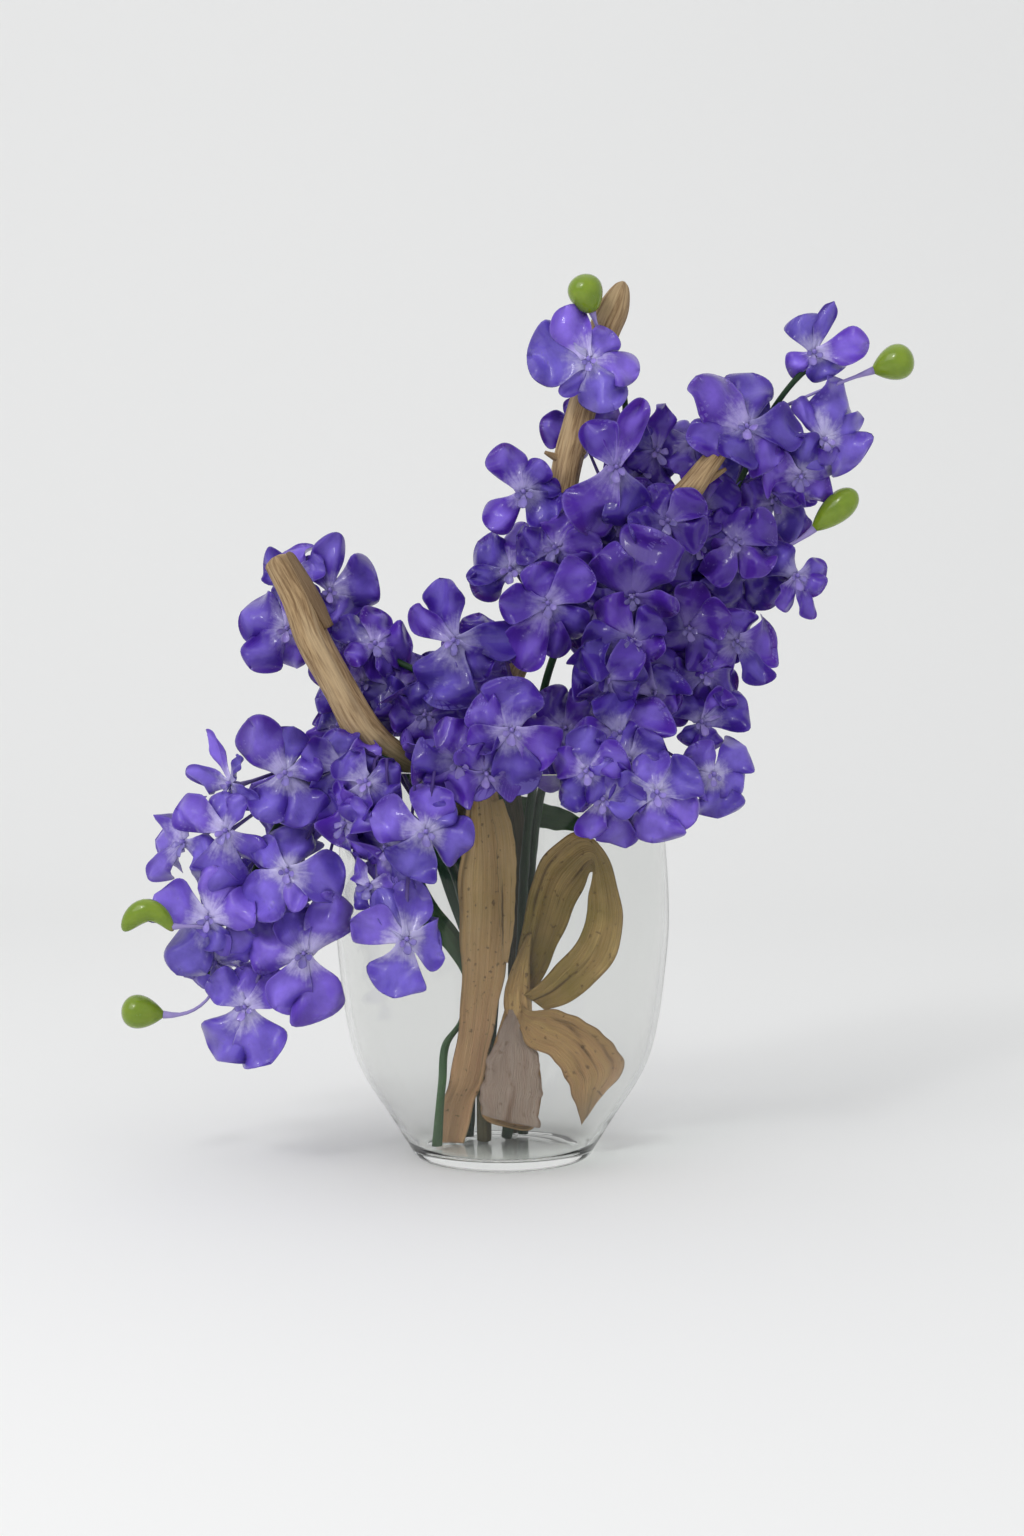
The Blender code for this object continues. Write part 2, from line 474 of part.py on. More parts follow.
def stalk(name, stem, end, inward, grow=0.0):
    # A curved stalk from a place a little back along the stem to the back of a bloom or bud.
    draw = random.Random(name + " stalk")
    nearest = int(np.argmin(np.linalg.norm(stem - end, axis=1)))
    root = stem[max(nearest - BACKWARD_GROWTH, 0) + draw.randint(0, ROOT_SCATTER)]
    radius = PEDICEL_RADIUS * draw.uniform(0.9, 1.05) + grow
    outside = is_outside(*end)
    if outside and end[2] < RIM_HEIGHT + RIM_CROSSING:
        over_rim = end[:2] * (VASE_WALL[-1][0] + RIM_CROSSING) / np.hypot(*end[:2])
        path = np.array((root, (*over_rim, RIM_HEIGHT + RIM_CROSSING), end - inward * RIM_CROSSING, end))
    else:
        bend = end - inward * 0.55 * np.linalg.norm(end - root)
        t = np.linspace(0, 1, 3)[:, None]
        path = (1 - t) ** 2 * root + 2 * t * (1 - t) * bend + t**2 * end
    if outside:
        path[1:] = clear_of_vase(path[1:], True)
    return tube(path, [radius] * len(path), PEDICEL_SIDES)


def spray_pieces(name, stem_points, blooms, fillers, buds, grow=0.0):
    # The stem comes first, then each bloom or bud with its stalk, all as points and faces with a finish.
    first = FIRST_FLOWERS[name]
    stem = smooth_path(stem_points, 3 * len(stem_points) // 2)
    radii = np.linspace(*STEM_RADII, len(stem)) + grow
    flowering = smooth_path(stem_points, 12 * len(stem_points))[12 * first:]
    pieces = [("stem", *tube(stem, radii, STEM_SIDES))]
    flowers = [(row[:6], seen_lobes(*row[4:7]), LOBE_STATIONS) for row in blooms]
    flowers += [(row[:6], star_lobes(row[0], *row[6:8]), STAR_STATIONS) for row in fillers]
    for (label, x, y, z, azimuth, elevation), lobes, stations in flowers:
        centre, out = np.array((x, y, z), float), facing(azimuth, elevation)[2]
        pieces.append(("petal", *bloom(label, centre, azimuth, elevation, lobes, stations, grow)))
        pieces.append(("stem", *stalk(label, flowering, centre - out * 0.4, out, grow)))
    for row in buds:
        axis = unit(np.array(row[4], float))
        pieces.append(("bud", *bud(row, grow)))
        end = np.array(row[1:4]) - axis * row[5] * 0.36
        pieces.append(("stem", *stalk(row[0], flowering, end, axis, grow)))
    return pieces


def twig_pieces(runs, spurs, grow=0.0):
    # Each run is a tube of uneven thickness, and each spur a short cone out of it.
    pieces = []
    for k, run in enumerate(runs):
        path = smooth_path(run, 3 * len(run) // 2)
        draw = random.Random(f"twig {k} {len(run)}")
        radii = [r * draw.uniform(0.93, 1.07) + grow for r in path[:, 3]]
        pieces.append(("bark", *tube(path[:, :3], radii, TWIG_SIDES)))
    for root, tip, radius in spurs:
        path = np.linspace(root, tip, 3)
        pieces.append(("bark", *tube(path, [radius + grow, radius * 0.7 + grow, radius * 0.25 + grow], 5)))
    return pieces


def leaf(kind, edges, grow=0.0):
    # A blade between two edges, channelled along its middle, with the same split on both faces.
    count = len(edges) + 3
    left = smooth_path([e[0] for e in edges], count)
    right = smooth_path([e[1] for e in edges], count)
    middle, across = (left + right) / 2, left - right
    normal = np.cross(np.gradient(middle, axis=0), across)
    normal /= np.linalg.norm(normal, axis=1)[:, None]
    breadth = np.linalg.norm(across, axis=1)[:, None]
    middle = middle - normal * breadth * LEAF_CHANNEL
    half = LEAF_THICKNESS[kind] / 2 + grow
    edge_half = half * 0.7
    outward = across / breadth * grow
    rows = [left + outward + normal * edge_half, middle + normal * half, right - outward + normal * edge_half,
            right - outward - normal * edge_half, middle - normal * half, left + outward - normal * edge_half]
    points = np.concatenate(rows)
    points = clear_of_vase(points, False)
    faces = []
    for k in range(count - 1):
        lt, mt, rt, rb, mb, lb = (k + row * count for row in range(6))
        faces += [(mt, lt + 1, lt), (mt, mt + 1, lt + 1), (mt, rt, rt + 1), (mt, rt + 1, mt + 1)]
        faces += [(mb, lb, lb + 1), (mb, lb + 1, mb + 1), (mb, rb + 1, rb), (mb, mb + 1, rb + 1)]
        faces += [(rt, rb, rb + 1), (rt, rb + 1, rt + 1), (lb, lt, lt + 1), (lb, lt + 1, lb + 1)]
    start = [row * count for row in range(6)]
    end = [row * count + count - 1 for row in range(6)]
    faces += [(start[0], start[5], start[4], start[1]), (start[1], start[4], start[3], start[2])]
    faces += [(end[1], end[4], end[5], end[0]), (end[2], end[3], end[4], end[1])]
    return points, faces


def strap_pieces(grow=0.0):
    # The dry straps that grow from one neck, with the neck first.
    path = smooth_path(DRIED_NECK, len(DRIED_NECK))
    pieces = [("dried", *tube(path[:, :3], path[:, 3] + grow, DRIED_NECK_SIDES))]
    for kind, edges in (("loop", LOOP_LEAF), ("ring", RING_LEAF), ("low", LOW_LEAF)):
        pieces.append(("dried", *leaf(kind, edges, grow)))
    return pieces


def make_vase(material):
    # The wall's outline, out from the middle of the foot, up, over the rim and down to the inner floor, turned.
    outer = VASE_OUTER[1:-1]
    inner_heights = np.linspace(RIM_HEIGHT - VASE_THICKNESS, VASE_FLOOR[0][1], VASE_STATIONS - 2)
    rim = RIM_HEIGHT - VASE_THICKNESS / 2
    outline = [(0, 0), (VASE_FOOT_RADIUS, 0), (VASE_WALL[0][0] + 2, VASE_THICKNESS)]
    outline += [tuple(p) for p in outer]
    outline += [(outer_radius(rim), rim), (VASE_WALL[-1][0] - VASE_THICKNESS / 2, RIM_HEIGHT)]
    outline += [(float(outer_radius(h)) - VASE_THICKNESS, h) for h in inner_heights]
    outline += list(VASE_FLOOR[1:])
    form = bmesh.new()
    corners = [form.verts.new((r * MM, 0, z * MM)) for r, z in outline]
    edges = [form.edges.new(pair) for pair in zip(corners, corners[1:])]
    bmesh.ops.spin(form, geom=corners + edges, axis=(0, 0, 1), cent=(0, 0, 0), angle=math.tau,
                   steps=VASE_SIDES, use_merge=True)
    bmesh.ops.remove_doubles(form, verts=form.verts, dist=1e-6)
    bmesh.ops.recalc_face_normals(form, faces=form.faces)
    mesh = bpy.data.meshes.new("vase")
    form.to_mesh(mesh)
    form.free()
    mesh.materials.append(material)
    mesh.shade_smooth()
    made = bpy.data.objects.new("vase", mesh)
    bpy.context.collection.objects.link(made)
    return made


def overlaps(piece, box):
    points = piece[1]
    return bool((points.min(0) < box[1]).all() and (points.max(0) > box[0]).all())


def boolean(target, pieces, operation, finishes, materials):
    # One Boolean with a collection of the pieces, applied, after which they are removed.
    group = bpy.data.collections.new("operands")
    for finish, points, faces in pieces:
        slot = finishes.index(finish) if finish in finishes else 0
        operand = make_object("operand", points, faces, materials, slot)
        bpy.context.collection.objects.unlink(operand)
        group.objects.link(operand)
    modifier = target.modifiers.new("join", "BOOLEAN")
    modifier.operation = operation
    modifier.operand_type = "COLLECTION"
    modifier.collection = group
    modifier.solver = "MANIFOLD"
    result = bpy.data.meshes.new_from_object(target.evaluated_get(bpy.context.evaluated_depsgraph_get()))
    target.modifiers.clear()
    target.data = result
    for operand in list(group.objects):
        bpy.data.objects.remove(operand)
    bpy.data.collections.remove(group)


def keep_one_body(target):
    # Loose scraps and sealed hollows go, and the largest body stays.
    form = bmesh.new()
    form.from_mesh(target.data)
    left, bodies = set(form.faces), []
    while left:
        body, front = set(), [left.pop()]
        while front:
            face = front.pop()
            body.add(face)
            for edge in face.edges:
                for other in edge.link_faces:
                    if other in left:
                        left.discard(other)
                        front.append(other)
        bodies.append(body)
    largest = max(bodies, key=len)
    unwanted = [face for face in form.faces if face not in largest]
    bmesh.ops.delete(form, geom=unwanted, context="FACES")
    form.to_mesh(target.data)
    form.free()


def fuse(name, pieces, cutters, finishes, materials):
    used = [materials[finish] for finish in finishes]
    finish, points, faces = pieces[0]
    made = make_object(name, points, faces, used, finishes.index(finish))
    if len(pieces) > 1:
        boolean(made, pieces[1:], "UNION", finishes, used)
    box = (np.min([p[1].min(0) for p in pieces], axis=0), np.max([p[1].max(0) for p in pieces], axis=0))
    near = [c for c in cutters if overlaps(c, box)]
    if near:
        boolean(made, near, "DIFFERENCE", finishes, used)
    keep_one_body(made)
    return made


def make_part():
    for old in list(bpy.data.objects):
        bpy.data.objects.remove(old)
    materials = {
        "glass": make_material("clear_glass", (0.86, 0.9, 0.88), 0.03, transmission=1.0),
        "petal": make_material("violet_petal", (0.13, 0.075, 0.46), 0.45),
        "stem": make_material("dark_green_stem", (0.03, 0.09, 0.04), 0.5),
        "bud": make_material("green_bud", (0.16, 0.26, 0.03), 0.2),
        "bark": make_material("tan_twig", (0.40, 0.29, 0.16), 0.8),
        "dried": make_material("dried_leaf", (0.38, 0.26, 0.13), 0.6),
        "leaf": make_material("green_leaf", (0.03, 0.11, 0.03), 0.4),
    }
    make_vase(materials["glass"])

    leaves = (("dried_leaf_tall", "dried", "tall", TALL_LEAF), ("green_leaf_outer", "leaf", "outer", GREEN_OUTER),
              ("green_leaf_inner", "leaf", "inner", GREEN_INNER), ("green_leaf_right", "leaf", "right", GREEN_RIGHT))
    for name, finish, kind, edges in leaves:
        make_object(name, *leaf(kind, edges), [materials[finish]])
    fuse("dried_leaf_cluster", strap_pieces(), [], ("dried",), materials)

    twigs = (("twig_left", (TWIG_LEFT, TWIG_LEFT_STRAND), ()),
             ("twig_centre", (TWIG_CENTRE, TWIG_CENTRE_BRANCH), TWIG_SPURS))
    for name, runs, spurs in twigs:
        fuse(name, twig_pieces(runs, spurs), [], ("bark",), materials)

    grow = CLEARANCE / MM
    cutters = [("bark", *piece[1:]) for _, runs, spurs in twigs for piece in twig_pieces(runs, spurs, grow)]
    cutters += [(finish, *leaf(kind, edges, grow)) for _, finish, kind, edges in leaves] + strap_pieces(grow)
    sprays = (("centre", CENTRE_STEM, CENTRE_BLOOMS, CENTRE_FILLERS, CENTRE_BUDS),
              ("upper_left", UPPER_LEFT_STEM, UPPER_LEFT_BLOOMS, UPPER_LEFT_FILLERS, ()),
              ("right", RIGHT_STEM, RIGHT_BLOOMS, RIGHT_FILLERS, RIGHT_BUDS),
              ("lower_left", LOWER_LEFT_STEM, LOWER_LEFT_BLOOMS, LOWER_LEFT_FILLERS, LOWER_LEFT_BUDS))
    for spray in sprays:
        fuse(f"spray_{spray[0]}", spray_pieces(*spray), cutters, ("petal", "stem", "bud"), materials)
        cutters += spray_pieces(*spray, grow)


make_part()
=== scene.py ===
import math
import random

import bpy
import numpy as np
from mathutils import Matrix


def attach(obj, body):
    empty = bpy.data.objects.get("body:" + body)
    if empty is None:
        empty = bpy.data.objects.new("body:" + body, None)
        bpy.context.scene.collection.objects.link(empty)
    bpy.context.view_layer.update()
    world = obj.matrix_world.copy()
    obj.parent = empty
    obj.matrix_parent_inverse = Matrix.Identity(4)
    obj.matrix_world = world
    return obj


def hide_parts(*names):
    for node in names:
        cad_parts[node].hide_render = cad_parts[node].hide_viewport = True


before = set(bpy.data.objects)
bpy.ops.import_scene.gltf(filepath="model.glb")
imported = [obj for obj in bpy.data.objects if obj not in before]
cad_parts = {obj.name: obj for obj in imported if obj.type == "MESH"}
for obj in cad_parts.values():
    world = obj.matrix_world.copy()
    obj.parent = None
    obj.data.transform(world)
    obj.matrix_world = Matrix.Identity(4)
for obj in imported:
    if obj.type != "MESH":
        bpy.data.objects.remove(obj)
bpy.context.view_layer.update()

# Sprays of violet orchids with green buds, dry twigs and curled strap leaves in a clear egg-shaped glass vase.
# All tables are in millimetres: x to the right, y away from the camera, z up from the middle of the vase's foot.
mm = 0.001

vase = dict(
    wall=((42, 0), (53, 18), (71.5, 50), (79, 95), (80, 130), (75, 190)),  # radius and height, from foot to rim
    floor=((50, 18), (44.5, 9.5), (38, 5.6), (0, 5)),
    foot=((0.02, 1.6), (20, 1.6), (34, 0.9), (37.5, 0), (41.5, 0.5), (43.6, 2.2)),
    thickness=3, rimThickness=1.5, thickBelow=60,
    turns=128, checkSteps=60, wallSteps=40, floorSteps=22, footSteps=20, rimSteps=9,
    rimJoin=2, floorJoin=4, footJoin=3, pole=0.02,
    tint=(0.900, 0.905, 0.896), shadowTint=(0.93, 0.95, 0.94), ior=1.30)

camera = dict(place=(4.56, -1229.0, 271.8), tiltDown=3.9, lens=60.0, sensor=36.0, near=0.05, far=20)


def smoothPath(points, count):
    # Catmull-Rom curve: each span is 0.5 (2 p1 + (p2-p0) t + (2 p0-5 p1+4 p2-p3) t^2 + (3 p1-p0-3 p2+p3) t^3),
    # read again at places that lie evenly along its length.
    points = np.array(points, float)
    padded = np.vstack([2 * points[0] - points[1], points, 2 * points[-1] - points[-2]])
    spans = len(points) - 1
    at = np.linspace(0, spans, max(count, 2) * 8)
    span = np.minimum(at.astype(int), spans - 1)
    t = (at - span)[:, None]
    p0, p1, p2, p3 = (padded[span + k] for k in range(4))
    curve = 0.5 * (2 * p1 + (p2 - p0) * t + (2 * p0 - 5 * p1 + 4 * p2 - p3) * t**2
                   + (3 * p1 - p0 - 3 * p2 + p3) * t**3)
    length = np.concatenate([[0], np.cumsum(np.linalg.norm(np.diff(curve, axis=0), axis=1))])
    even = np.linspace(0, length[-1], count)
    return np.stack([np.interp(even, length, column) for column in curve.T], axis=1)


def unit(vectors):
    return vectors / np.maximum(np.linalg.norm(vectors, axis=-1, keepdims=True), 1e-9)


def ease(x, low, high):
    # 0 below low, 1 above high, 3 t^2 - 2 t^3 between them
    t = np.clip((x - low) / (high - low), 0, 1)
    return t * t * (3 - 2 * t)


def turnsOf(sides):
    return np.arange(sides) * math.tau / sides


wallCurve = smoothPath(vase["wall"], vase["checkSteps"])


def wallRadius(height):
    return np.interp(height, wallCurve[:, 1], wallCurve[:, 0])


def outOfVase(points, outside, gap):
    # Below the rim a point moves along its radius until it clears the wall: outside items outwards, others inwards.
    radius = np.maximum(np.hypot(points[..., 0], points[..., 1]), 1e-6)
    height = points[..., 2]
    outer = np.maximum(radius, wallRadius(height) + gap)
    inner = np.minimum(radius, wallRadius(height) - vase["thickness"] - gap)
    wanted = np.where(outside, outer, inner)
    wanted = np.where(height < vase["wall"][-1][1] + gap, wanted, radius)
    points[..., :2] *= (wanted / radius)[..., None]
    return points


def closedSkin(grid, place):
    # grid[item, ring, side] runs round each item ring by ring, and both ends are drawn together at a pole.
    items, rings, sides = grid.shape[:3]
    def withPoles(values):
        poles = np.stack([values[:, 0].mean(1), values[:, -1].mean(1)], axis=1)
        rows = np.concatenate([values.reshape(items, rings * sides, -1), poles], axis=1)
        return rows.reshape(-1, rows.shape[-1])
    ring, side = (v.ravel() for v in np.meshgrid(np.arange(rings - 1), np.arange(sides), indexing="ij"))
    after = (side + 1) % sides
    here, beyond = ring * sides, (ring + 1) * sides
    quads = np.stack([here + side, here + after, beyond + after, beyond + side], 1)
    turn = np.arange(sides)
    following = (turn + 1) % sides
    last = (rings - 1) * sides
    start = np.stack([np.full(sides, rings * sides), following, turn], 1)
    end = np.stack([np.full(sides, rings * sides + 1), last + turn, last + following], 1)
    step = np.arange(items)[:, None, None] * (rings * sides + 2)
    place = np.broadcast_to(place, grid.shape[:3] + (place.shape[-1],))
    return (withPoles(grid), (quads + step).reshape(-1, 4),
            (np.vstack([start, end]) + step).reshape(-1, 3), withPoles(place))


def joined(shapes):
    # several skins as one, with the numbers in their faces counted on
    points, quads, triangles, places = zip(*shapes)
    starts = np.cumsum([0] + [len(p) for p in points])
    return (np.concatenate(points), np.concatenate([face + start for face, start in zip(quads, starts)]),
            np.concatenate([face + start for face, start in zip(triangles, starts)]), np.concatenate(places))


def linked(name, data):
    made = bpy.data.objects.new(name, data)
    bpy.context.scene.collection.objects.link(made)
    return made


def makePiece(name, shape, material, node):
    # place is kept on the mesh as "place" (along, across, face) and "tone" (three values of the piece's own; on the
    # petals the first carries each bloom's painted shade)
    points, quads, triangles, places = shape
    mesh = bpy.data.meshes.new(name)
    mesh.vertices.add(len(points))
    mesh.vertices.foreach_set("co", (points * mm).astype(np.float32).ravel())
    mesh.loops.add(quads.size + triangles.size)
    corners = np.concatenate([quads.ravel(), triangles.ravel()])
    mesh.loops.foreach_set("vertex_index", corners.astype(np.int32))
    starts = np.concatenate([np.arange(len(quads)) * 4, quads.size + np.arange(len(triangles)) * 3])
    mesh.polygons.add(len(starts))
    mesh.polygons.foreach_set("loop_start", starts.astype(np.int32))
    mesh.polygons.foreach_set("use_smooth", np.ones(len(starts), bool))
    for label, columns in (("place", places[:, :3]), ("tone", places[:, 3:6])):
        layer = mesh.attributes.new(label, "FLOAT_VECTOR", "POINT")
        layer.data.foreach_set("vector", np.ascontiguousarray(columns, np.float32).ravel())
    mesh.materials.append(material)
    mesh.update(calc_edges=True)
    mesh.validate()
    piece = linked(name, mesh)
    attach(piece, "root")
    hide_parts(node)
    print(name, len(quads) * 2 + len(triangles), "triangles")


def pathFrame(path):
    # two directions square to the path: side = tangent x helper, up = tangent x side
    tangent = unit(np.gradient(path, axis=-2))
    run = np.abs(tangent).mean(axis=-2, keepdims=True)
    helper = np.eye(3)[np.argmin(run, axis=-1)]
    side = unit(np.cross(tangent, helper))
    return side, np.cross(tangent, side)


def tubeSkin(path, radius, sides, tone):
    # path[item, ring] carries a circle: centre + radius (cos a side + sin a up); radius may change over both
    items, rings = path.shape[:2]
    side, up = (v[:, :, None] for v in pathFrame(path))
    turn = turnsOf(sides)
    radius = np.broadcast_to(radius, (items, rings, sides))[..., None]
    grid = path[:, :, None] + radius * (np.cos(turn)[:, None] * side + np.sin(turn)[:, None] * up)
    along = np.linspace(0, 1, rings)[None, :, None]
    parts = np.broadcast_arrays(along, (turn / math.tau)[None, None], np.zeros((items, 1, 1)))
    tone = np.broadcast_to(np.reshape(tone, (-1, 1, 1, 3)), (items, rings, sides, 3))
    return closedSkin(grid, np.concatenate([np.stack(parts, -1), tone], -1))


# Shader helpers: a socket takes a link or a value of its own.
def plug(tree, socket, value):
    if isinstance(value, bpy.types.NodeSocket):
        tree.links.new(value, socket)
    else:
        socket.default_value = value


def newNode(tree, kind, *values):
    # a node whose first inputs take the values
    node = tree.nodes.new(kind)
    for socket, value in zip(node.inputs, values):
        plug(tree, socket, value)
    return node


def mathNode(tree, operation, *values, clamp=False):
    node = newNode(tree, "ShaderNodeMath", *values)
    node.operation = operation
    node.use_clamp = clamp
    return node.outputs[0]


def product(tree, first, second):
    return mathNode(tree, "MULTIPLY", first, second)


def spreadNode(tree, value, strength, middle=0.5):
    # strength (value - middle)
    return product(tree, mathNode(tree, "SUBTRACT", value, middle), strength)


def rangeNode(tree, value, low, high):
    # 0 at low, 1 at high, eased between them; a mask falls where low is the greater
    node = newNode(tree, "ShaderNodeMapRange", value, low, high, 0.0, 1.0)
    node.interpolation_type = "SMOOTHSTEP"
    return node.outputs[0]


def blendNode(tree, value, ends, low=0.0, high=1.0):
    # the first of the ends at low, the second at high, in a straight line
    return newNode(tree, "ShaderNodeMapRange", value, low, high, *ends).outputs[0]


def mixColour(tree, factor, first, second):
    node = newNode(tree, "ShaderNodeMix", factor)
    node.data_type = "RGBA"
    for socket, colour in zip(node.inputs[6:8], (first, second)):  # the two colours of a Mix node
        plug(tree, socket, (*colour, 1) if isinstance(colour, tuple) else colour)
    return node.outputs[2]


def layered(tree, look, lit, **masks):
    # from the look's dark to its light, and over it each colour that a mask is named for, at its share of strength
    colour = mixColour(tree, lit, look["dark"], look["light"])
    for name, mask in masks.items():
        strength = product(tree, mask, look["shares"][name]) if name in look["shares"] else mask
        colour = mixColour(tree, strength, colour, look[name])
    return colour


def noiseNode(tree, vector, scale, detail=3.0, roughness=0.5, distortion=0.0):
    node = tree.nodes.new("ShaderNodeTexNoise")
    settings = dict(Vector=vector, Scale=scale, Detail=detail, Roughness=roughness, Distortion=distortion)
    for label, value in settings.items():
        plug(tree, node.inputs[label], value)
    return node.outputs[0]


def newGroup(name, **inputs):
    # a group with float inputs, or a vector where no value is given, and one value out
    group = bpy.data.node_groups.new(name, "ShaderNodeTree")
    for label, value in inputs.items():
        kind = "NodeSocketVector" if value is None else "NodeSocketFloat"
        made = group.interface.new_socket(name=label, in_out="INPUT", socket_type=kind)
        if value is not None:
            made.default_value = value
    group.interface.new_socket(name="Value", in_out="OUTPUT", socket_type="NodeSocketFloat")
    return group, group.nodes.new("NodeGroupInput").outputs, group.nodes.new("NodeGroupOutput").inputs


def sendContrasted(group, result, noise, contrast):
    # out goes 0.5 + contrast (noise - 0.5), clipped to 0 and 1
    value = mathNode(group, "ADD", spreadNode(group, noise, contrast), 0.5, clamp=True)
    group.links.new(value, result["Value"])
    return group


def mottleGroup():
    # soft blotches on the object's own coordinates
    group, given, result = newGroup("softMottle", Vector=None, Scale=60.0, Contrast=2.0)
    noise = noiseNode(group, given["Vector"], given["Scale"], 4.0, 0.55)
    return sendContrasted(group, result, noise, given["Contrast"])


def fibreGroup():
    # long fibres: noise on (along x stretch, across x count, seed), so that it is drawn out along the piece
    seedStep = 37.0
    group, given, result = newGroup("longFibres", Along=0.0, Across=0.0, Seed=0.0, Count=20.0, Stretch=1.5,
                                    Contrast=2.0)
    factors = dict(Along=given["Stretch"], Across=given["Count"], Seed=seedStep)
    parts = [product(group, given[label], factor) for label, factor in factors.items()]
    vector = newNode(group, "ShaderNodeCombineXYZ", *parts).outputs[0]
    return sendContrasted(group, result, noiseNode(group, vector, 1.0, 3.0, 0.6, 0.15), given["Contrast"])


mottle = mottleGroup()
fibres = fibreGroup()


def useGroup(tree, group, *values):
    node = tree.nodes.new("ShaderNodeGroup")
    node.node_tree = group
    for socket, value in zip(node.inputs, values):
        plug(tree, socket, value)
    return node.outputs[0]


def mottleNode(tree, position, scale, contrast):
    return useGroup(tree, mottle, position, scale, contrast)


def fibreNode(tree, place, seed, count, stretch, contrast):
    return useGroup(tree, fibres, place[0], place[1], seed, count, stretch, contrast)


def plainMaterial(name, **constants):
    # a Principled material; constants go on the shader's own sockets
    material = bpy.data.materials.new(name)
    material.use_nodes = True
    shader = material.node_tree.nodes["Principled BSDF"]
    for label, value in constants.items():
        shader.inputs[label].default_value = value
    return material, material.node_tree, shader


def patternMaterial(name, **constants):
    # with what a pattern reads: the parts of place and of tone, and the object's own coordinates
    material, tree, shader = plainMaterial(name, **constants)
    read = []
    for label in ("place", "tone"):
        node = tree.nodes.new("ShaderNodeAttribute")
        node.attribute_name = label
        read.append(newNode(tree, "ShaderNodeSeparateXYZ", node.outputs["Vector"]).outputs)
    return material, tree, shader, *read, tree.nodes.new("ShaderNodeTexCoord").outputs["Object"]


def dressShader(tree, shader, colour, gloss, look, height):
    # colour, a roughness that runs with gloss over look's two values, and a bump of height (strength, metres)
    strength, distance = look["bump"]
    tree.links.new(colour, shader.inputs["Base Color"])
    roughness = blendNode(tree, gloss, look["roughness"], *look.get("glossRange", (0.0, 1.0)))
    tree.links.new(roughness, shader.inputs["Roughness"])
    bump = tree.nodes.new("ShaderNodeBump")
    for label, value in dict(Strength=strength, Distance=distance, Height=height).items():
        plug(tree, bump.inputs[label], value)
    tree.links.new(bump.outputs[0], shader.inputs["Normal"])


# In the looks below a mottle is its scale and contrast, fibres are their count, stretch and contrast, a noise is
# what noiseNode takes, and a mask is where it begins and where it is full.
petalLook = dict(
    dark=(0.070, 0.021, 0.355), light=(0.228, 0.150, 0.740), deep=(0.030, 0.008, 0.18), pale=(0.60, 0.56, 0.84),
    back=(0.17, 0.12, 0.52), edge=(0.20, 0.15, 0.60), lip=(0.34, 0.29, 0.60),
    shares=dict(deep=0.55, edge=0.30, back=0.6, lip=0.5), blotch=(70.0, 2.6), veins=(6.0, 1.2, 2.0),
    specks=(330.0, 3.0, 0.6), grain=(700.0, 2.0), relief=(0.8, 0.3), litSpread=(0.85, 0.45),
    middleAcross=(0.95, 0.15), middleAlong=(0.25, 0.62), rim=(0.88, 1.0), behind=(0.1, -0.3),
    star=(0.48, 0.06), starBreaks=(0.13, 0.24, 0.36), starBright=(0.12, 0.78), deepest=-0.5, palest=0.8, even=0.2,
    lobeHue=(0.494, 0.505), lobeValue=(0.80, 1.16), bloomValue=(0.80, 1.0),
    roughness=(0.46, 0.34), bump=(0.14, 0.0012))


def petalMaterial():
    look = petalLook
    material, tree, shader, place, tone, spot = patternMaterial("violetPetal", **{
        "Subsurface Weight": 0.06, "Subsurface Scale": 0.003, "Subsurface Radius": (0.5, 0.35, 1.0),
        "Specular IOR Level": 0.22, "Coat Weight": 0.38, "Coat Roughness": 0.08})
    along, across, face = place
    bloomToneAndShade, lobeTone, isLip = tone
    aside = mathNode(tree, "ABSOLUTE", across)
    blotch = mottleNode(tree, spot, *look["blotch"])
    veins = fibreNode(tree, place, lobeTone, *look["veins"])
    # lit: the bloom's tone, which carries its painted shade, made lighter in each lobe's middle, partly the petal's
    # own colour and partly a painted pool of light
    middle = product(tree, rangeNode(tree, aside, *look["middleAcross"]),
                     rangeNode(tree, along, *look["middleAlong"]))
    lit = mathNode(tree, "ADD", bloomToneAndShade, spreadNode(tree, middle, *look["litSpread"]), clamp=True)
    # the pale star: strong at the claw, broken up into rays by veins, blotches and specks
    reach = along
    for value, strength in zip((veins, blotch, noiseNode(tree, spot, *look["specks"])), look["starBreaks"]):
        reach = mathNode(tree, "ADD", reach, spreadNode(tree, value, strength))
    # the star is fainter on blooms in painted shade
    bright = blendNode(tree, bloomToneAndShade, look["starBright"], look["deepest"], look["palest"])
    colour = layered(tree, look, lit,
                     deep=mathNode(tree, "SUBTRACT", 1.0, blotch), edge=rangeNode(tree, aside, *look["rim"]),
                     pale=product(tree, rangeNode(tree, reach, *look["star"]), bright),
                     back=rangeNode(tree, face, *look["behind"]), lip=isLip)
    # each lobe has its own random tint, and blooms in painted shade, crowded or standing back, are darker
    shade = tree.nodes.new("ShaderNodeHueSaturation")
    value = product(tree, blendNode(tree, lobeTone, look["lobeValue"]),
                    blendNode(tree, bloomToneAndShade, look["bloomValue"], look["deepest"], look["even"]))
    for label, given in dict(Color=colour, Value=value, Hue=blendNode(tree, lobeTone, look["lobeHue"])).items():
        plug(tree, shade.inputs[label], given)
    strong, faint = look["relief"]
    height = mathNode(tree, "ADD", product(tree, veins, strong),
                      product(tree, noiseNode(tree, spot, *look["grain"]), faint))
    dressShader(tree, shader, shade.outputs[0], blotch, look, height)
    return material


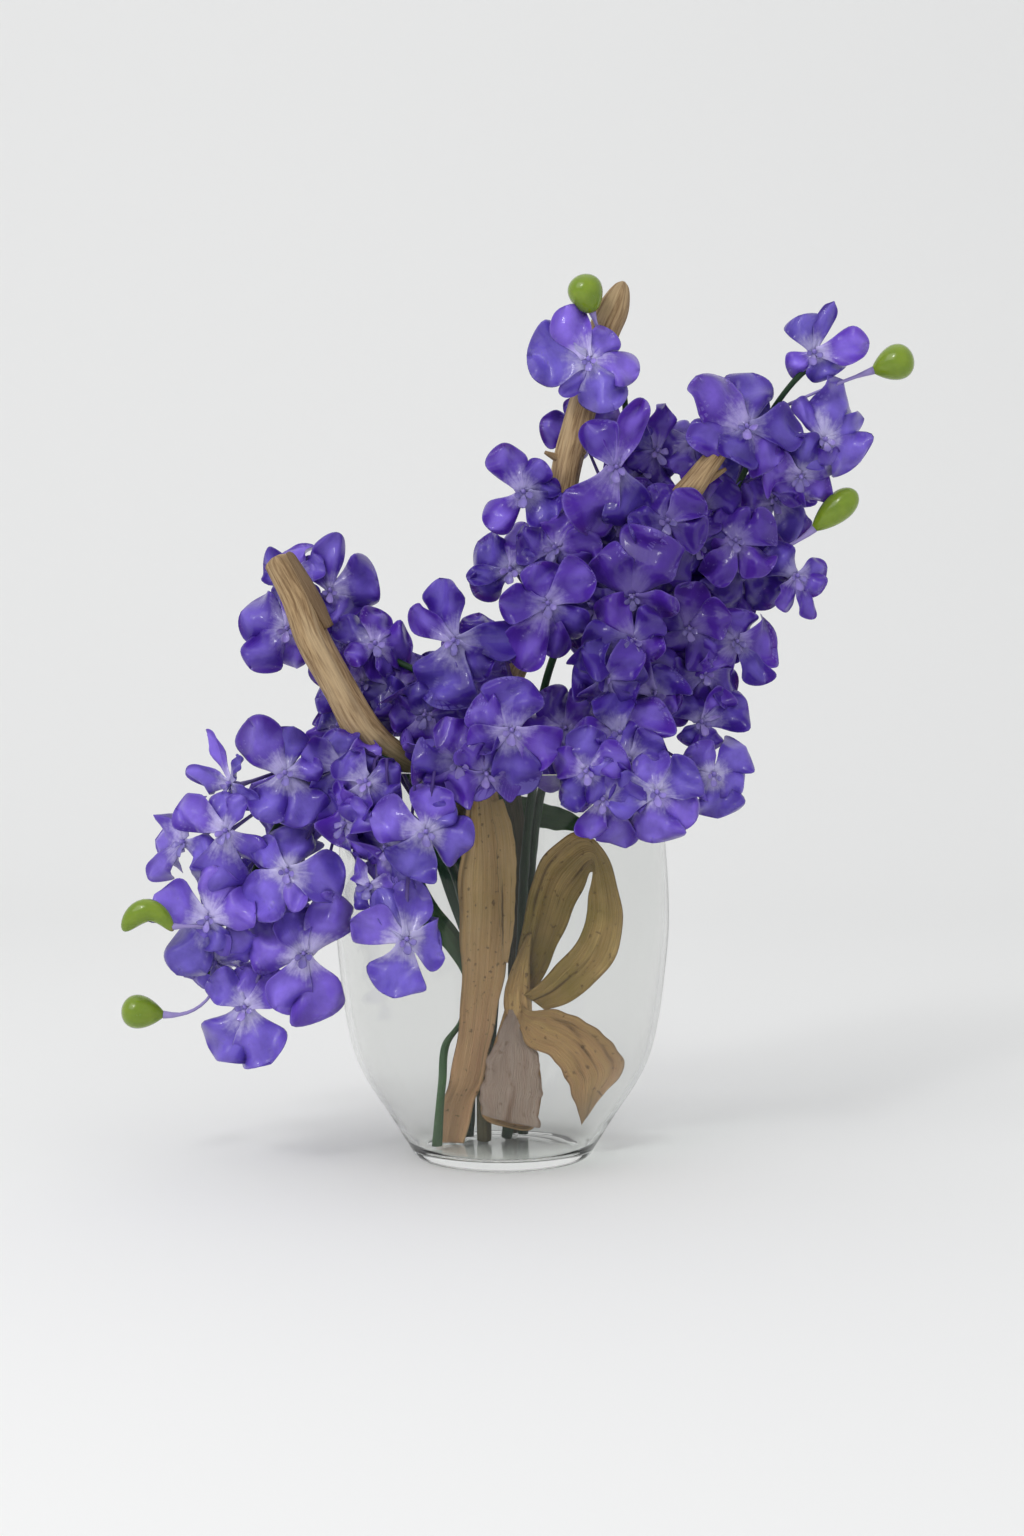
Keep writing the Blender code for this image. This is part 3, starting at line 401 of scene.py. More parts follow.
# A lobe, as shares of its length or half width; the spreads are how far each lobe may stray from it.
petalForm = dict(
    stations=16, stationEase=1.7, sides=20, hub=1.0, fullness=1.18, shoulder=0.66, claw=0.30, clawShape=1.9,
    endShape=2.4, endSpread=1.0, horn=0.07, hornSpread=0.13, hornMiddle=0.4, hornReach=(0.4, 0.95), lopsided=0.24,
    lean=0.08, thickness=1.0, bow=-0.22, bowSpread=0.50, curl=-0.20, curlSpread=0.38, twist=0.62,
    twistReach=(0.2, 1.0), crease=1.4, creaseWidth=0.3, creaseReach=0.5, wave=0.62, waveReach=(0.15, 0.8),
    waves=((1.0, 0.8), (0.6, 1.7), (0.4, 0.9)), waveSlant=0.7, ruffle=0.15, ruffleTurns=1.3, ruffleSlant=1.8,
    layer=0.6, layerReach=(0.0, 0.5), wallGap=0.9)
lipForm = dict(petalForm, stations=7, sides=10, fullness=1.0, thickness=0.7, bow=0.3, bowSpread=0.15, curl=-0.3,
               curlSpread=0.2, crease=0.3, wave=0.1, ruffle=0.15, layer=0.0, hub=0.4)
columnForm = dict(length=3.6, radius=1.15, rings=7, sides=10, sunk=1.0, lean=0.25, tone=0.7)

# How a bloom's tone comes about: chance, and painted shade, darker where others crowd it or where it stands far back.
toneForm = dict(chance=0.12, crowdReach=36, crowdShade=0.105, usualCrowd=4.9, depthShade=0.004, usualDepth=-45)

# Blooms that the light or their neighbours make paler (+) or deeper (-) than the rest of their spray.
toneShift = dict(
    L4=0.12, L5=0.42, L6=-0.05, L7=-0.05, L8=-0.06, L9=-0.14, M4=-0.05, M5=-0.10, M6=-0.42, M7b=-0.45, M7c=-0.50,
    C1=0.22, C3=-0.05, C5=0.08, C7=-0.20, C8=-0.12, C11=0.30, R2=0.10, R3=0.46, R6=0.12, R10=0.12, R11=0.20)

# The lobes of a half-hidden bloom: angle, length and width against half its width, tilt.
star = ((90, 0.96, 0.82, -4), (162, 1.0, 0.9, 7), (233, 1.04, 0.88, -2), (307, 1.04, 0.88, -2), (18, 1.0, 0.9, 7))
starChance = dict(turn=5, length=(0.9, 1.06), width=(0.86, 1.0), tilt=3)

# The small parts in a bloom's middle: angle, length, width and tilt of the lip and its two ears.
lipLobes = ((270, 6.4, 4.2, 40), (205, 4.2, 3.0, 50), (335, 4.2, 3.0, 50))
lipChance = dict(turn=14, size=(0.85, 1.1))

# Each spray: blooms as seen from the front, with name, centre x, y, z, way they face (degrees to the right, degrees
# up), and for each lobe its tip across and up from the centre, its width, and its tilt forward in degrees;
# half-hidden blooms with name, centre x, y, z, way they face, roll and width; the stem's points, the span from
# which it flowers; and buds with name, middle x, y, z, way the tip points, length, width, taper (0 egg, 1 teardrop)
# and bend.
# paleness is the base tone of a spray's blooms: partly a paler colour and partly painted light, highest on the lower
# left spray
lowerLeftSpray = dict(
    node="spray_lower_left", paleness=0.76, seed=11, firstFlower=5,
    blooms=(
        ("L1", -100, -52, 189, 0, 10,
         ((-16, 22, 19, 10), (3, 23, 14, -5), (17, 3, 11, 25), (12, -23, 22, 0), (-11, -21, 19, 0))),
        ("L2", -127, -36, 183, -60, 0,
         ((-10, 22, 9, 0), (-15, 3, 12, 10), (-2, -14, 11, -5), (10, -9, 10, 10), (5, 14, 10, 0))),
        ("L3", -128, -48, 162, -15, 0,
         ((-27, 10, 17, 0), (-11, -32, 23, 5), (7, 17, 10, -5), (16, -14, 14, -5), (-4, 17, 11, -12))),
        ("L3b", -150, -30, 155, -40, 0, ((-22, 0, 25, 0), (-19, -18, 11, 8), (-10, 15, 17, 0), (15, -4, 13, 0))),
        ("L4", -137, -46, 121, -10, 0,
         ((-23, 12, 21, 5), (5, 24, 17, -5), (23, 4, 17, 0), (-15, -24, 21, 5), (5, -15, 12, 10))),
        ("L5", -99, -56, 144, 0, 10,
         ((-19, -16, 24, 5), (26, -2, 21, 5), (1, 22, 21, -10), (-17, 12, 12, -10), (4, -18, 9, 0))),
        ("L6", -92, -50, 105, 0, 0,
         ((-29, 4, 24, 0), (-10, 18, 17, -8), (15, 27, 20, 5), (12, -29, 23, 0), (-13, -25, 19, 8))),
        ("L7", -120, -46, 79, 0, 10,
         ((-13, -24, 24, 0), (13, -25, 23, 8), (21, 10, 15, -5), (-16, 13, 15, 10), (0, 19, 15, -5))),
        ("L8", -43, -82, 116, 10, 0,
         ((-5, -26, 21, 0), (19, -5, 21, 5), (9, 25, 16, -5), (-24, 10, 18, 0), (-12, 22, 13, -12))),
        ("L8b", -61, -62, 138, -30, 10, ((-10, 11, 11, 0), (-9, -6, 12, 0), (8, -13, 13, 0), (12, 3, 12, 0))),
        ("L9", -34, -86, 165, 5, 0,
         ((3, 20, 18, 0), (21, -6, 20, 5), (-8, -20, 21, 5), (-25, 5, 18, 0), (14, 11, 11, 15))),
        ("L10", -62, -64, 186, -10, 20,
         ((-15, 11, 18, 10), (14, 8, 13, 0), (-15, -6, 16, 0), (12, -11, 15, 0), (-5, -16, 15, 0)))),
    fillers=(
        ("L11", -72, -56, 166, -60, 0, 0, 40), ("L13", -135, -35, 99, -10, -50, 0, 42),
        ("L14", -112, -4, 128, 170, 10, 0, 44), ("L15", -100, -2, 168, 150, 0, 20, 44),
        ("L10b", -69, -52, 178, -20, 10, 30, 42), ("L10c", -53, -64, 156, -30, 0, 10, 38),
        ("L10d", -74, -46, 192, 10, 20, 0, 40)),
    stem=(
        (-17, 14, 6.2), (-14, 11, 74), (-19, 4, 122), (-31, -12, 156), (-43, -34, 181), (-55, -42, 195),
        (-72, -41, 195), (-92, -37, 182), (-112, -28, 152), (-126, -24, 118), (-140, -24, 92)),
    buds=(
        ("bud_left", -163.8, -52, 125.6, (-1.0, 0.0, 0.0), 23, 10.8, 0.0, -0.85),
        ("bud_low", -168, -40, 76, (-1.0, 0.0, 0.12), 21, 16, 1.0, 0.0)))
upperLeftSpray = dict(
    node="spray_upper_left", paleness=0.52, seed=23, firstFlower=5,
    blooms=(
        ("M1", -102, -12, 255, -10, 0,
         ((-24, 9, 22, 0), (-17, -17, 19, 8), (2, -19, 12, 0), (21, 8, 16, 0), (6, 17, 14, -8))),
        ("M2", -82, -8, 273, 0, 0,
         ((1, 28, 13, 0), (-12, 16, 10, 0), (22, 5, 22, 5), (7, -14, 17, 0), (-9, -10, 12, -10))),
        ("M3", -60, -22, 248, 10, 15,
         ((4, 16, 15, 0), (17, 0, 19, 5), (-17, 10, 14, 0), (-13, -5, 11, 0), (9, -12, 10, 0))),
        ("M4", -22, -46, 250, -20, 0,
         ((-8, 29, 18, -3), (-20, 15, 13, 7), (-9, -27, 28, 5), (10, -17, 14, -5), (25, 4, 16, -15))),
        ("M5", -36, -34, 215, -10, -10,
         ((-6, 15, 26, 5), (-2, -21, 25, 5), (20, -7, 17, 0), (-17, 1, 16, 0), (12, 12, 14, -10))),
        ("M6", 4.5, -86, 210.5, 0, 0,
         ((3, 23, 24, 0), (-18, 10, 17, -5), (-20, -7, 13, 7), (0, -27, 20, 5), (21, -10, 19, 0))),
        ("M8", -78, -10, 209, -20, 0,
         ((-9, 8, 13, 0), (-14, -10, 12, 0), (3, -18, 12, 0), (13, -5, 14, 0), (6, 14, 14, 0)))),
    fillers=(
        ("M3b", -66, -14, 229, -20, 0, 30, 46), ("M7", -27, -42, 195, 0, -60, 0, 42),
        ("M9", -100, -2, 280, -20, 10, 0, 34), ("M10", -7, -16, 245, 20, 20, 0, 42),
        ("M11", -32, 14, 222, 175, 5, 0, 46), ("M12", -76, 14, 246, 170, 0, 0, 44),
        ("M7b", -19, -78, 196, 0, -24, 15, 42), ("M7c", -7, -79, 191, 8, -28, 40, 36),
        ("M9b", -50, -16, 228, 10, 10, 40, 42), ("M4b", -18, -26, 226, 10, 0, 20, 44)),
    stem=(
        (-10, 20, 6.2), (-4, 19, 74), (-1, 16, 122), (0, 12, 160), (-3, 2, 190), (-14, -10, 212), (-32, -16, 230),
        (-58, -12, 244), (-78, -6, 258), (-92, 0, 268)),
    buds=())
centreSpray = dict(
    node="spray_centre", paleness=0.50, seed=37, firstFlower=7,
    blooms=(
        ("C1", 40, -32, 380, 0, 0,
         ((-27, 1, 26, 5), (-11, 24, 17, -6), (10, 13, 13, 5), (24, -4, 15, -5), (11, -22, 19, 5),
          (-11, -17, 8, -10))),
        ("C1b", 37, 6, 352, 0, 0,
         ((-18, 0, 15, 0), (16, 11, 15, 0), (15, -10, 14, 0), (-4, 13, 12, 0), (-5, -17, 14, 0))),
        ("C2", 10, -24, 319, 0, 0,
         ((-9, 22, 16, 0), (-15, -18, 14, 5), (15, -13, 18, 0), (9, 15, 12, 5), (17, 3, 8, 0))),
        ("C3", 53, -36, 330, 0, -5,
         ((-14, 20, 16, 0), (13, 28, 12, 10), (-14, -29, 23, 0), (12, -26, 21, 8), (-1, 21, 10, -10))),
        ("C4", 73, -12, 339, 20, 0,
         ((4, 22, 13, 5), (0, -22, 16, 0), (-11, 9, 12, 0), (12, -9, 12, 0), (-12, -8, 11, 8))),
        ("C5", 4, -18, 283, -10, 0,
         ((-15, 13, 18, 0), (-20, -4, 9, 10), (-17, -11, 13, 0), (6, 22, 13, 0), (16, 5, 14, 0))),
        ("C6", 21, -50, 267, 0, 0,
         ((-12, -30, 18, 0), (-22, 1, 16, 5), (-6, 18, 17, 0), (20, 15, 18, 0), (18, -11, 14, 5), (6, -25, 13, -8))),
        ("C7", 60, -44, 270, 0, -20,
         ((15, 25, 26, 0), (-16, 19, 19, 0), (-19, -6, 14, 0), (20, -6, 16, 0), (4, -19, 16, 0)))),
    fillers=(
        ("C4b", 90, -6, 344, 20, 30, 0, 36), ("C7b", 25, -27, 293, -30, 0, 0, 40),
        ("C14", 44, 26, 304, 170, 5, 0, 46), ("C4c", 66, -10, 330, 20, 20, 10, 38),
        ("C3b", 56, -24, 305, 0, -20, 40, 40), ("C5b", 34, -14, 288, 0, 10, 20, 42),
        ("C6b", 44, -10, 264, 0, 0, 50, 42)),
    stem=(
        (2, 12, 6.2), (7, 3, 50), (8, 0.5, 76), (9, 3, 100), (10, 8, 128), (12, 10, 155), (16, 6, 190),
        (20, 2, 226), (32, -1, 262), (46, 1, 300), (56, -3, 338), (58, -12, 360), (54, -20, 372), (44, -25, 382)),
    buds=(
        ("bud_top", 39, -29, 410.5, (-0.35, -0.2, 1.0), 18.5, 16.0, 0.0, 0.0),))
rightSpray = dict(
    node="spray_right", paleness=0.52, seed=51, firstFlower=4,
    blooms=(
        ("C8", 60, -48, 250, 0, -10,
         ((-24, -2, 22, 5), (-15, 18, 16, -5), (10, -10, 15, 0), (-8, -23, 20, 0), (14, 9, 16, 0))),
        ("C9", 47, -50, 233, -20, -15,
         ((-6, -17, 19, 0), (-16, -1, 16, 0), (-9, 15, 16, -5), (17, 8, 16, 0), (10, -16, 16, 8))),
        ("C10", 54, -58, 208, 0, 5, ((-22, -4, 21, 5), (12, -12, 18, 0), (20, 12, 19, -5), (-4, 19, 18, 0))),
        ("C10b", 71, -34, 225, 10, -10, ((-14, 14, 16, 0), (8, 11, 16, 0), (11, -8, 16, 0), (-7, -14, 16, 0))),
        ("C11", 70, -76, 182, 5, 0,
         ((-23, -3, 19, 0), (-1, -22, 20, 5), (18, -13, 16, -3), (20, 8, 18, 5), (-7, 16, 16, -5))),
        ("C12", 46, -74, 179, -20, -15,
         ((4, -28, 14, 0), (-7, -17, 12, 8), (-9, 4, 14, 0), (4, 18, 15, -5), (17, 0, 14, -10))),
        ("C13", 30, -14, 194, 0, 0,
         ((10, -27, 16, 0), (-12, -13, 16, 0), (-14, 6, 15, 0), (2, 28, 16, 0), (16, 6, 15, 0))),
        ("R1", 114, -28, 349, 0, 15,
         ((-22, 21, 24, 0), (6, 32, 21, -5), (-26, -6, 17, 0), (26, -2, 17, 0), (-8, -15, 18, 8), (15, -15, 19, 5))),
        ("R2", 147, -12, 385, 0, 0,
         ((-7, 18, 16, 0), (8, 24, 8, 0), (24, 2, 15, 5), (-11, -7, 10, 0), (5, -13, 17, 0))),
        ("R3", 152, -14, 344, 15, 0,
         ((11, 27, 22, 0), (24, 9, 10, 8), (19, -11, 21, 0), (-13, 17, 9, -5), (-9, -13, 11, 0))),
        ("R6", 140, -8, 280, 15, 0,
         ((16, 5, 12, 0), (11, -7, 11, 8), (8, -20, 9, 0), (-8, -16, 11, 0), (-11, 13, 17, 0))),
        ("R8", 111, -14, 249, 15, 0,
         ((20, -3, 22, 0), (4, 15, 19, -5), (12, -19, 11, 8), (-11, -20, 17, 0), (-18, 1, 14, 0))),
        ("R10", 94, -20, 211, 10, 0,
         ((24, 8, 15, 5), (5, -13, 14, 15), (-8, -9, 10, 0), (-6, 13, 16, 0), (11, 15, 12, -5))),
        ("R11", 99, -32, 187, 10, 0,
         ((18, 13, 15, 0), (16, -8, 17, 8), (3, -21, 20, 0), (-10, -5, 14, 0), (-7, 13, 14, -5)))),
    fillers=(
        ("C15", 52, 32, 256, 190, 0, 0, 46), ("C16", 66, -6, 300, 0, 0, 20, 44),
        ("R4", 141, -14, 327, 0, -40, 0, 40), ("R5", 132, 16, 317, 20, 0, 0, 44), ("R7", 115, -4, 284, 0, 0, 0, 46),
        ("R9", 88, -22, 255, 0, -10, 0, 40), ("R10b", 84, -10, 232, 0, 0, 15, 44),
        ("R12", 102, 4, 269, 0, 0, 30, 40), ("R13", 94, -14, 312, 0, -20, 0, 42),
        ("R14", 122, 20, 345, 165, 0, 0, 46), ("R15", 92, 34, 284, 180, 0, 0, 46),
        ("R16", 77, -32, 305, 0, 10, 20, 38), ("R17", 92, -16, 294, 10, -20, 60, 40),
        ("R18", 110, -18, 296, 0, 20, 10, 40), ("R19", 82, -6, 262, 0, 0, 40, 44),
        ("R20", 62, -30, 232, 0, 0, 10, 44), ("R21", 96, -14, 234, 10, 0, 30, 40),
        ("C13b", 38, -80, 192, -10, -10, 0, 36), ("C13c", 30, -22, 208, 0, 0, 30, 44),
        ("C13d", 58, -66, 196, 0, 10, 20, 40)),
    stem=(
        (10, 20, 6.2), (12, 18, 74), (13, 17, 118), (16, 16, 158), (24, 14, 190), (48, 10, 222), (76, 8, 256),
        (98, 8, 292), (116, 4, 330), (127, 0, 356), (141, -5, 375), (152, -8, 381)),
    buds=(
        ("bud_right", 184, -10, 380, (1.0, 0.0, 0.35), 21, 17, 0.9, 0.0),
        ("bud_right_low", 158, -4, 311, (1.0, -0.1, 0.9), 28, 14, 0.7, 0.0)))
sprays = dict(LowerLeft=lowerLeftSpray, UpperLeft=upperLeftSpray, Centre=centreSpray, Right=rightSpray)
allBlooms = np.array([row[1:4] for spray in sprays.values() for row in spray["blooms"] + spray["fillers"]], float)


def facing(azimuth, elevation):
    # a bloom's own right, its own up and the way it faces
    azimuth, elevation = math.radians(azimuth), math.radians(elevation)
    level = math.cos(elevation)
    out = np.array((math.sin(azimuth) * level, -math.cos(azimuth) * level, math.sin(elevation)))
    right = np.array((math.cos(azimuth), math.sin(azimuth), 0))
    return right, np.cross(out, right), out


def seenLobes(azimuth, elevation, tips):
    # angle, length, width and tilt of each lobe, with the foreshortening drawn out again
    across, up, widths, tilts = zip(*tips)
    across = np.array(across) / math.cos(math.radians(azimuth))
    up = np.array(up) / math.cos(math.radians(elevation))
    return sorted(zip(np.arctan2(up, across) % math.tau, np.hypot(across, up), widths, tilts))


def starLobes(name, roll, width):
    draw, chance = random.Random(name), starChance
    return sorted((math.radians(angle + roll + draw.uniform(-chance["turn"], chance["turn"])) % math.tau,
                   length * width / 2 * draw.uniform(*chance["length"]),
                   breadth * width / 2 * draw.uniform(*chance["width"]),
                   tilt + draw.uniform(-chance["tilt"], chance["tilt"])) for angle, length, breadth, tilt in star)


def petalWidth(s, form, end):
    # half width along the lobe: claw + (1-claw) sin^shape up to the shoulder, then (1 - x^end)^0.5 round the end
    claw, shoulder = form["claw"], form["shoulder"]
    rise = np.sin(math.pi / 2 * np.clip(s / shoulder, 0, 1)) ** form["clawShape"]
    x = np.clip((s - shoulder) / (1 - shoulder), 0, 1)
    return np.where(s <= shoulder, claw + (1 - claw) * rise, np.sqrt(np.maximum(0, 1 - x ** end)))


def lobeSkin(rows, form, seed):
    # rows: centre, right, up, out, angle, length, width, tilt, layer, tones. Along s and round the section a:
    # radius = length s; aside = half width cos a;
    # height = length (slope s + curl s^2) + bow aside^2 + folds + skin sin a
    draw = np.random.default_rng(seed)
    def field(k):
        return np.array([row[k] for row in rows], float)[:, None, None]
    def either(spread):
        return draw.uniform(-1, 1, (len(rows), 1, 1)) * spread
    def wavy(angle):
        # a sine that starts anywhere, with an angle in turns
        return np.sin(math.tau * (angle + draw.uniform(0, 1, (len(rows), 1, 1))))
    centre, right, up, out, angle, length, width, tilt, layer, tones = (field(k) for k in range(10))
    s = (1 - (1 - np.linspace(0, 1, form["stations"])) ** form["stationEase"])[None, :, None]
    turn = turnsOf(form["sides"])[None, None, :]
    c, q = np.cos(turn), np.sin(turn)
    half = width / 2 * form["fullness"] * petalWidth(s, form, form["endShape"] + either(form["endSpread"]))
    half = half * (1 + form["ruffle"] * s * wavy(form["ruffleTurns"] * s + form["ruffleSlant"] * c / math.tau))
    half = half * (1 + either(form["lopsided"]) * c)
    horn = (form["horn"] + either(form["hornSpread"])) * (c**2 - form["hornMiddle"]) * ease(s, *form["hornReach"])
    radius = form["hub"] + (length - form["hub"]) * s * (1 + horn)
    aside = half * c + either(form["lean"]) * length * s**2
    bow = form["bow"] + either(form["bowSpread"])
    curl = form["curl"] + either(form["curlSpread"])
    height = length * (np.tan(np.radians(tilt)) * s + curl * s**2) + bow * half * c**2
    height -= form["crease"] * np.exp(-((c / form["creaseWidth"]) ** 2) - (s / form["creaseReach"]) ** 2)
    # three waves: one side up and the other down, both sides together, and one that runs slantwise
    (first, firstTurns), (second, secondTurns), (third, thirdTurns) = form["waves"]
    waves = first * c * wavy(firstTurns * s) + second * c**2 * wavy(secondTurns * s)
    waves = waves + third * wavy(form["waveSlant"] * c + thirdTurns * s)
    height += form["wave"] * half * ease(s, *form["waveReach"]) * waves
    height += either(form["twist"]) * half * c * ease(s, *form["twistReach"])
    height += layer * form["layer"] * ease(s, *form["layerReach"])
    # the skin thins towards the tip, where it closes
    height = height + q * form["thickness"] / 2 * (1 - s**6) * (0.7 + 0.3 * (1 - s))
    x = np.cos(angle) * radius - np.sin(angle) * aside
    y = np.sin(angle) * radius + np.cos(angle) * aside
    grid = centre + x[..., None] * right + y[..., None] * up + height[..., None] * out
    outside = np.hypot(centre[..., 0], centre[..., 1]) > wallRadius(centre[..., 2])
    grid = outOfVase(grid, outside, form["wallGap"])
    place = np.stack(np.broadcast_arrays(s + 0 * angle, c, q), -1)
    return closedSkin(grid, np.concatenate([place, np.broadcast_to(tones, grid.shape)], -1))


def toneAndShadeOf(label, place, paleness, draw):
    # paleness +- chance, less crowdShade (crowd - usual), where crowd is the sum of exp(-distance^2 / (2 reach^2)):
    # painted shade, deeper where blooms crowd and where they stand far back
    distance = np.linalg.norm(allBlooms - np.array(place, float), axis=1)
    crowd = np.exp(-distance**2 / (2 * toneForm["crowdReach"] ** 2)).sum()
    tone = paleness + draw.uniform(-toneForm["chance"], toneForm["chance"])
    tone -= toneForm["crowdShade"] * (crowd - toneForm["usualCrowd"])
    tone -= toneForm["depthShade"] * (place[1] - toneForm["usualDepth"])
    return min(max(tone + toneShift.get(label, 0), petalLook["deepest"]), 1)


def sprayPetals(spray):
    # all lobes of one spray in a batch, then the lips, then the columns
    lobes, lips, columns = [], [], []
    flowers = [(row[:6], seenLobes(row[4], row[5], row[6])) for row in spray["blooms"]]
    flowers += [(row[:6], starLobes(row[0], row[6], row[7])) for row in spray["fillers"]]
    for (label, x, y, z, azimuth, elevation), rows in flowers:
        draw = random.Random(label + " tone")
        right, up, out = facing(azimuth, elevation)
        basis = ((x, y, z), right, up, out)
        bloomToneAndShade = toneAndShadeOf(label, (x, y, z), spray["paleness"], draw)
        for k, (angle, length, width, tilt) in enumerate(rows):
            layer = 0.0 if k == 4 else (1.0 if k % 2 else -1.0)
            lobes.append((*basis, angle, length, width, tilt, layer, (bloomToneAndShade, draw.random(), 0.0)))
        turn = math.radians(draw.uniform(-lipChance["turn"], lipChance["turn"]))
        size = draw.uniform(*lipChance["size"])
        for angle, length, width, tilt in lipLobes:
            lips.append((*basis, math.radians(angle) + turn, length * size, width * size, tilt, 0.0,
                         (bloomToneAndShade, draw.random(), 1.0)))
        columns.append((np.array((x, y, z)) - out * columnForm["sunk"], out + columnForm["lean"] * up, bloomToneAndShade))
    start, way, tones = (np.array(part) for part in zip(*columns))
    t = np.linspace(0, 1, columnForm["rings"])[None, :, None]
    path = start[:, None] + unit(way)[:, None] * columnForm["length"] * t
    radius = columnForm["radius"] * np.sqrt(np.clip(1 - (1.9 * t - 0.9) ** 2 * (t > 0.47), 0.05, 1))
    tones = [(tone, columnForm["tone"], 1.0) for tone in tones]
    return joined([lobeSkin(lobes, petalForm, spray["seed"]), lobeSkin(lips, lipForm, spray["seed"] + 1),
                   tubeSkin(path, radius, columnForm["sides"], tones)])


stemForm = dict(radii=(2.7, 1.3), sides=12, ringsPerPoint=12, swelling=0.12, pedicel=0.95, pedicelSides=8,
                pedicelRings=14, bend=0.55, joints=60, backward=12, scatter=8, rimCrossing=7, sunk=0.4, budSunk=0.06)
budForm = dict(rings=22, sides=24, blunt=0.14, dropPeak=0.401)


def pedicelPath(name, stem, end, inward, overRim=True):
    # a quadratic curve from a little back along the stem to the back of a bloom; over the rim it goes by way of a
    # point above it
    draw = random.Random(name + " stalk")
    nearest = int(np.argmin(np.linalg.norm(stem - end, axis=1)))
    root = stem[max(nearest - stemForm["backward"], 0) + draw.randint(0, stemForm["scatter"])]
    rimRadius, rimHeight = vase["wall"][-1]
    clear, reach = stemForm["rimCrossing"], np.hypot(*end[:2])
    if overRim and reach > wallRadius(end[2]) and end[2] < rimHeight + clear:
        crossing = end[:2] * (rimRadius + clear) / reach
        return smoothPath((root, (*crossing, rimHeight + clear), end - inward * clear, end), stemForm["pedicelRings"])
    bend = end - inward * stemForm["bend"] * np.linalg.norm(end - root)
    t = np.linspace(0, 1, stemForm["pedicelRings"])[:, None]
    return (1 - t) ** 2 * root + 2 * t * (1 - t) * bend + t**2 * end


def budLine(row, t):
    # the line a bud is turned about: straight, or a parabola where it bends
    axis = unit(np.array(row[4], float))
    droop = np.cross(axis, (0.0, 1.0, 0.0)) * row[8] * row[5] / 2
    return np.array(row[1:4]) + axis * ((t - 0.5) * row[5])[:, None] - droop * ((2 * t - 1) ** 2)[:, None]


def sprayStems(spray):
    # the stem tapers and swells a little at its joints; each pedicel widens where it meets its bloom
    perPoint = stemForm["ringsPerPoint"]
    stem = smoothPath(spray["stem"], perPoint * len(spray["stem"]))
    t = np.linspace(0, 1, len(stem))
    joints = np.maximum(0, np.sin(t * stemForm["joints"])) ** 6
    radius = np.interp(t, (0, 1), stemForm["radii"]) * (1 + stemForm["swelling"] * joints)
    flowering = stem[perPoint * spray["firstFlower"]:]
    paths, tones = [], []
    for row in spray["blooms"] + spray["fillers"]:
        out = facing(row[4], row[5])[2]
        paths.append(pedicelPath(row[0], flowering, np.array(row[1:4], float) - out * stemForm["sunk"], out))
        tones.append((0.0, random.Random(row[0]).random(), 1.0))
    for row in spray["buds"]:
        root = budLine(row, np.array((stemForm["budSunk"],)))[0]
        paths.append(pedicelPath(row[0], flowering, root, unit(np.array(row[4], float)), overRim=False))
        tones.append((1.0, 0.5, 1.0))
    t = np.linspace(0, 1, stemForm["pedicelRings"])
    thin = stemForm["pedicel"] * (1.15 - 0.4 * np.sin(math.pi * t) + 0.9 * ease(t, 0.85, 1.0))
    return joined([tubeSkin(stem[None], radius[None, :, None], stemForm["sides"], (0.5, 0.5, 0.0)),
                   tubeSkin(np.array(paths), thin[None, :, None], stemForm["pedicelSides"], tones)])


def budSkin(row):
    # turned about its own line: radius = width/2 of an egg 2 (t (1-t))^0.5 (1 - blunt cos(pi t)) mixed with a drop
    # t^0.9 (1-t)^0.5
    name, width, taper = row[0], row[6], row[7]
    t = 0.5 - 0.5 * np.cos(np.linspace(0.03, 0.99, budForm["rings"]) * math.pi)
    egg = 2 * np.sqrt(t * (1 - t)) * (1 - budForm["blunt"] * np.cos(math.pi * t))
    drop = t**0.9 * np.sqrt(1 - t) / budForm["dropPeak"]
    radius = width / 2 * (egg * (1 - taper) + drop * taper)
    return tubeSkin(budLine(row, t)[None], radius[None, :, None], budForm["sides"],
                    (0.5, random.Random(name).random(), 0.0))


stemLook = dict(
    dark=(0.005, 0.022, 0.008), light=(0.020, 0.062, 0.020), stalk=(0.055, 0.030, 0.190), tip=(0.36, 0.30, 0.62),
    stain=(0.10, 0.06, 0.22), stainShare=0.3, grain=(14.0, 6.0, 2.0), blotch=(60.0, 2.2), tipReach=(0.70, 1.0),
    budReach=0.6, roughness=(0.5, 0.38), bump=(0.25, 0.001))
budLook = dict(
    dark=(0.105, 0.190, 0.004), light=(0.215, 0.315, 0.012), streak=(0.26, 0.34, 0.02), root=(0.20, 0.15, 0.06),
    shares=dict(streak=0.25), blotch=(120.0, 1.6), lines=(9.0, 1.5, 1.6), rootEnd=(0.16, 0.0),
    roughness=(0.30, 0.20), bump=(0.08, 0.001))


def stemMaterial():
    # green along the stem; a stalk is violet and grows pale towards its bloom
    look = stemLook
    material, tree, shader, place, tone, spot = patternMaterial("darkGreenStem", **{"Specular IOR Level": 0.25})
    isBud, seed, isStalk = tone
    grain = fibreNode(tree, place, seed, *look["grain"])
    blotch = mottleNode(tree, spot, *look["blotch"])
    along = mathNode(tree, "ADD", place[0], product(tree, isBud, look["budReach"]))
    stalk = mixColour(tree, rangeNode(tree, along, *look["tipReach"]), look["stalk"], look["tip"])
    stalk = mixColour(tree, product(tree, blotch, look["stainShare"]), stalk, look["stain"])
    colour = mixColour(tree, isStalk, layered(tree, look, grain), stalk)
    dressShader(tree, shader, colour, grain, look, grain)
    return material


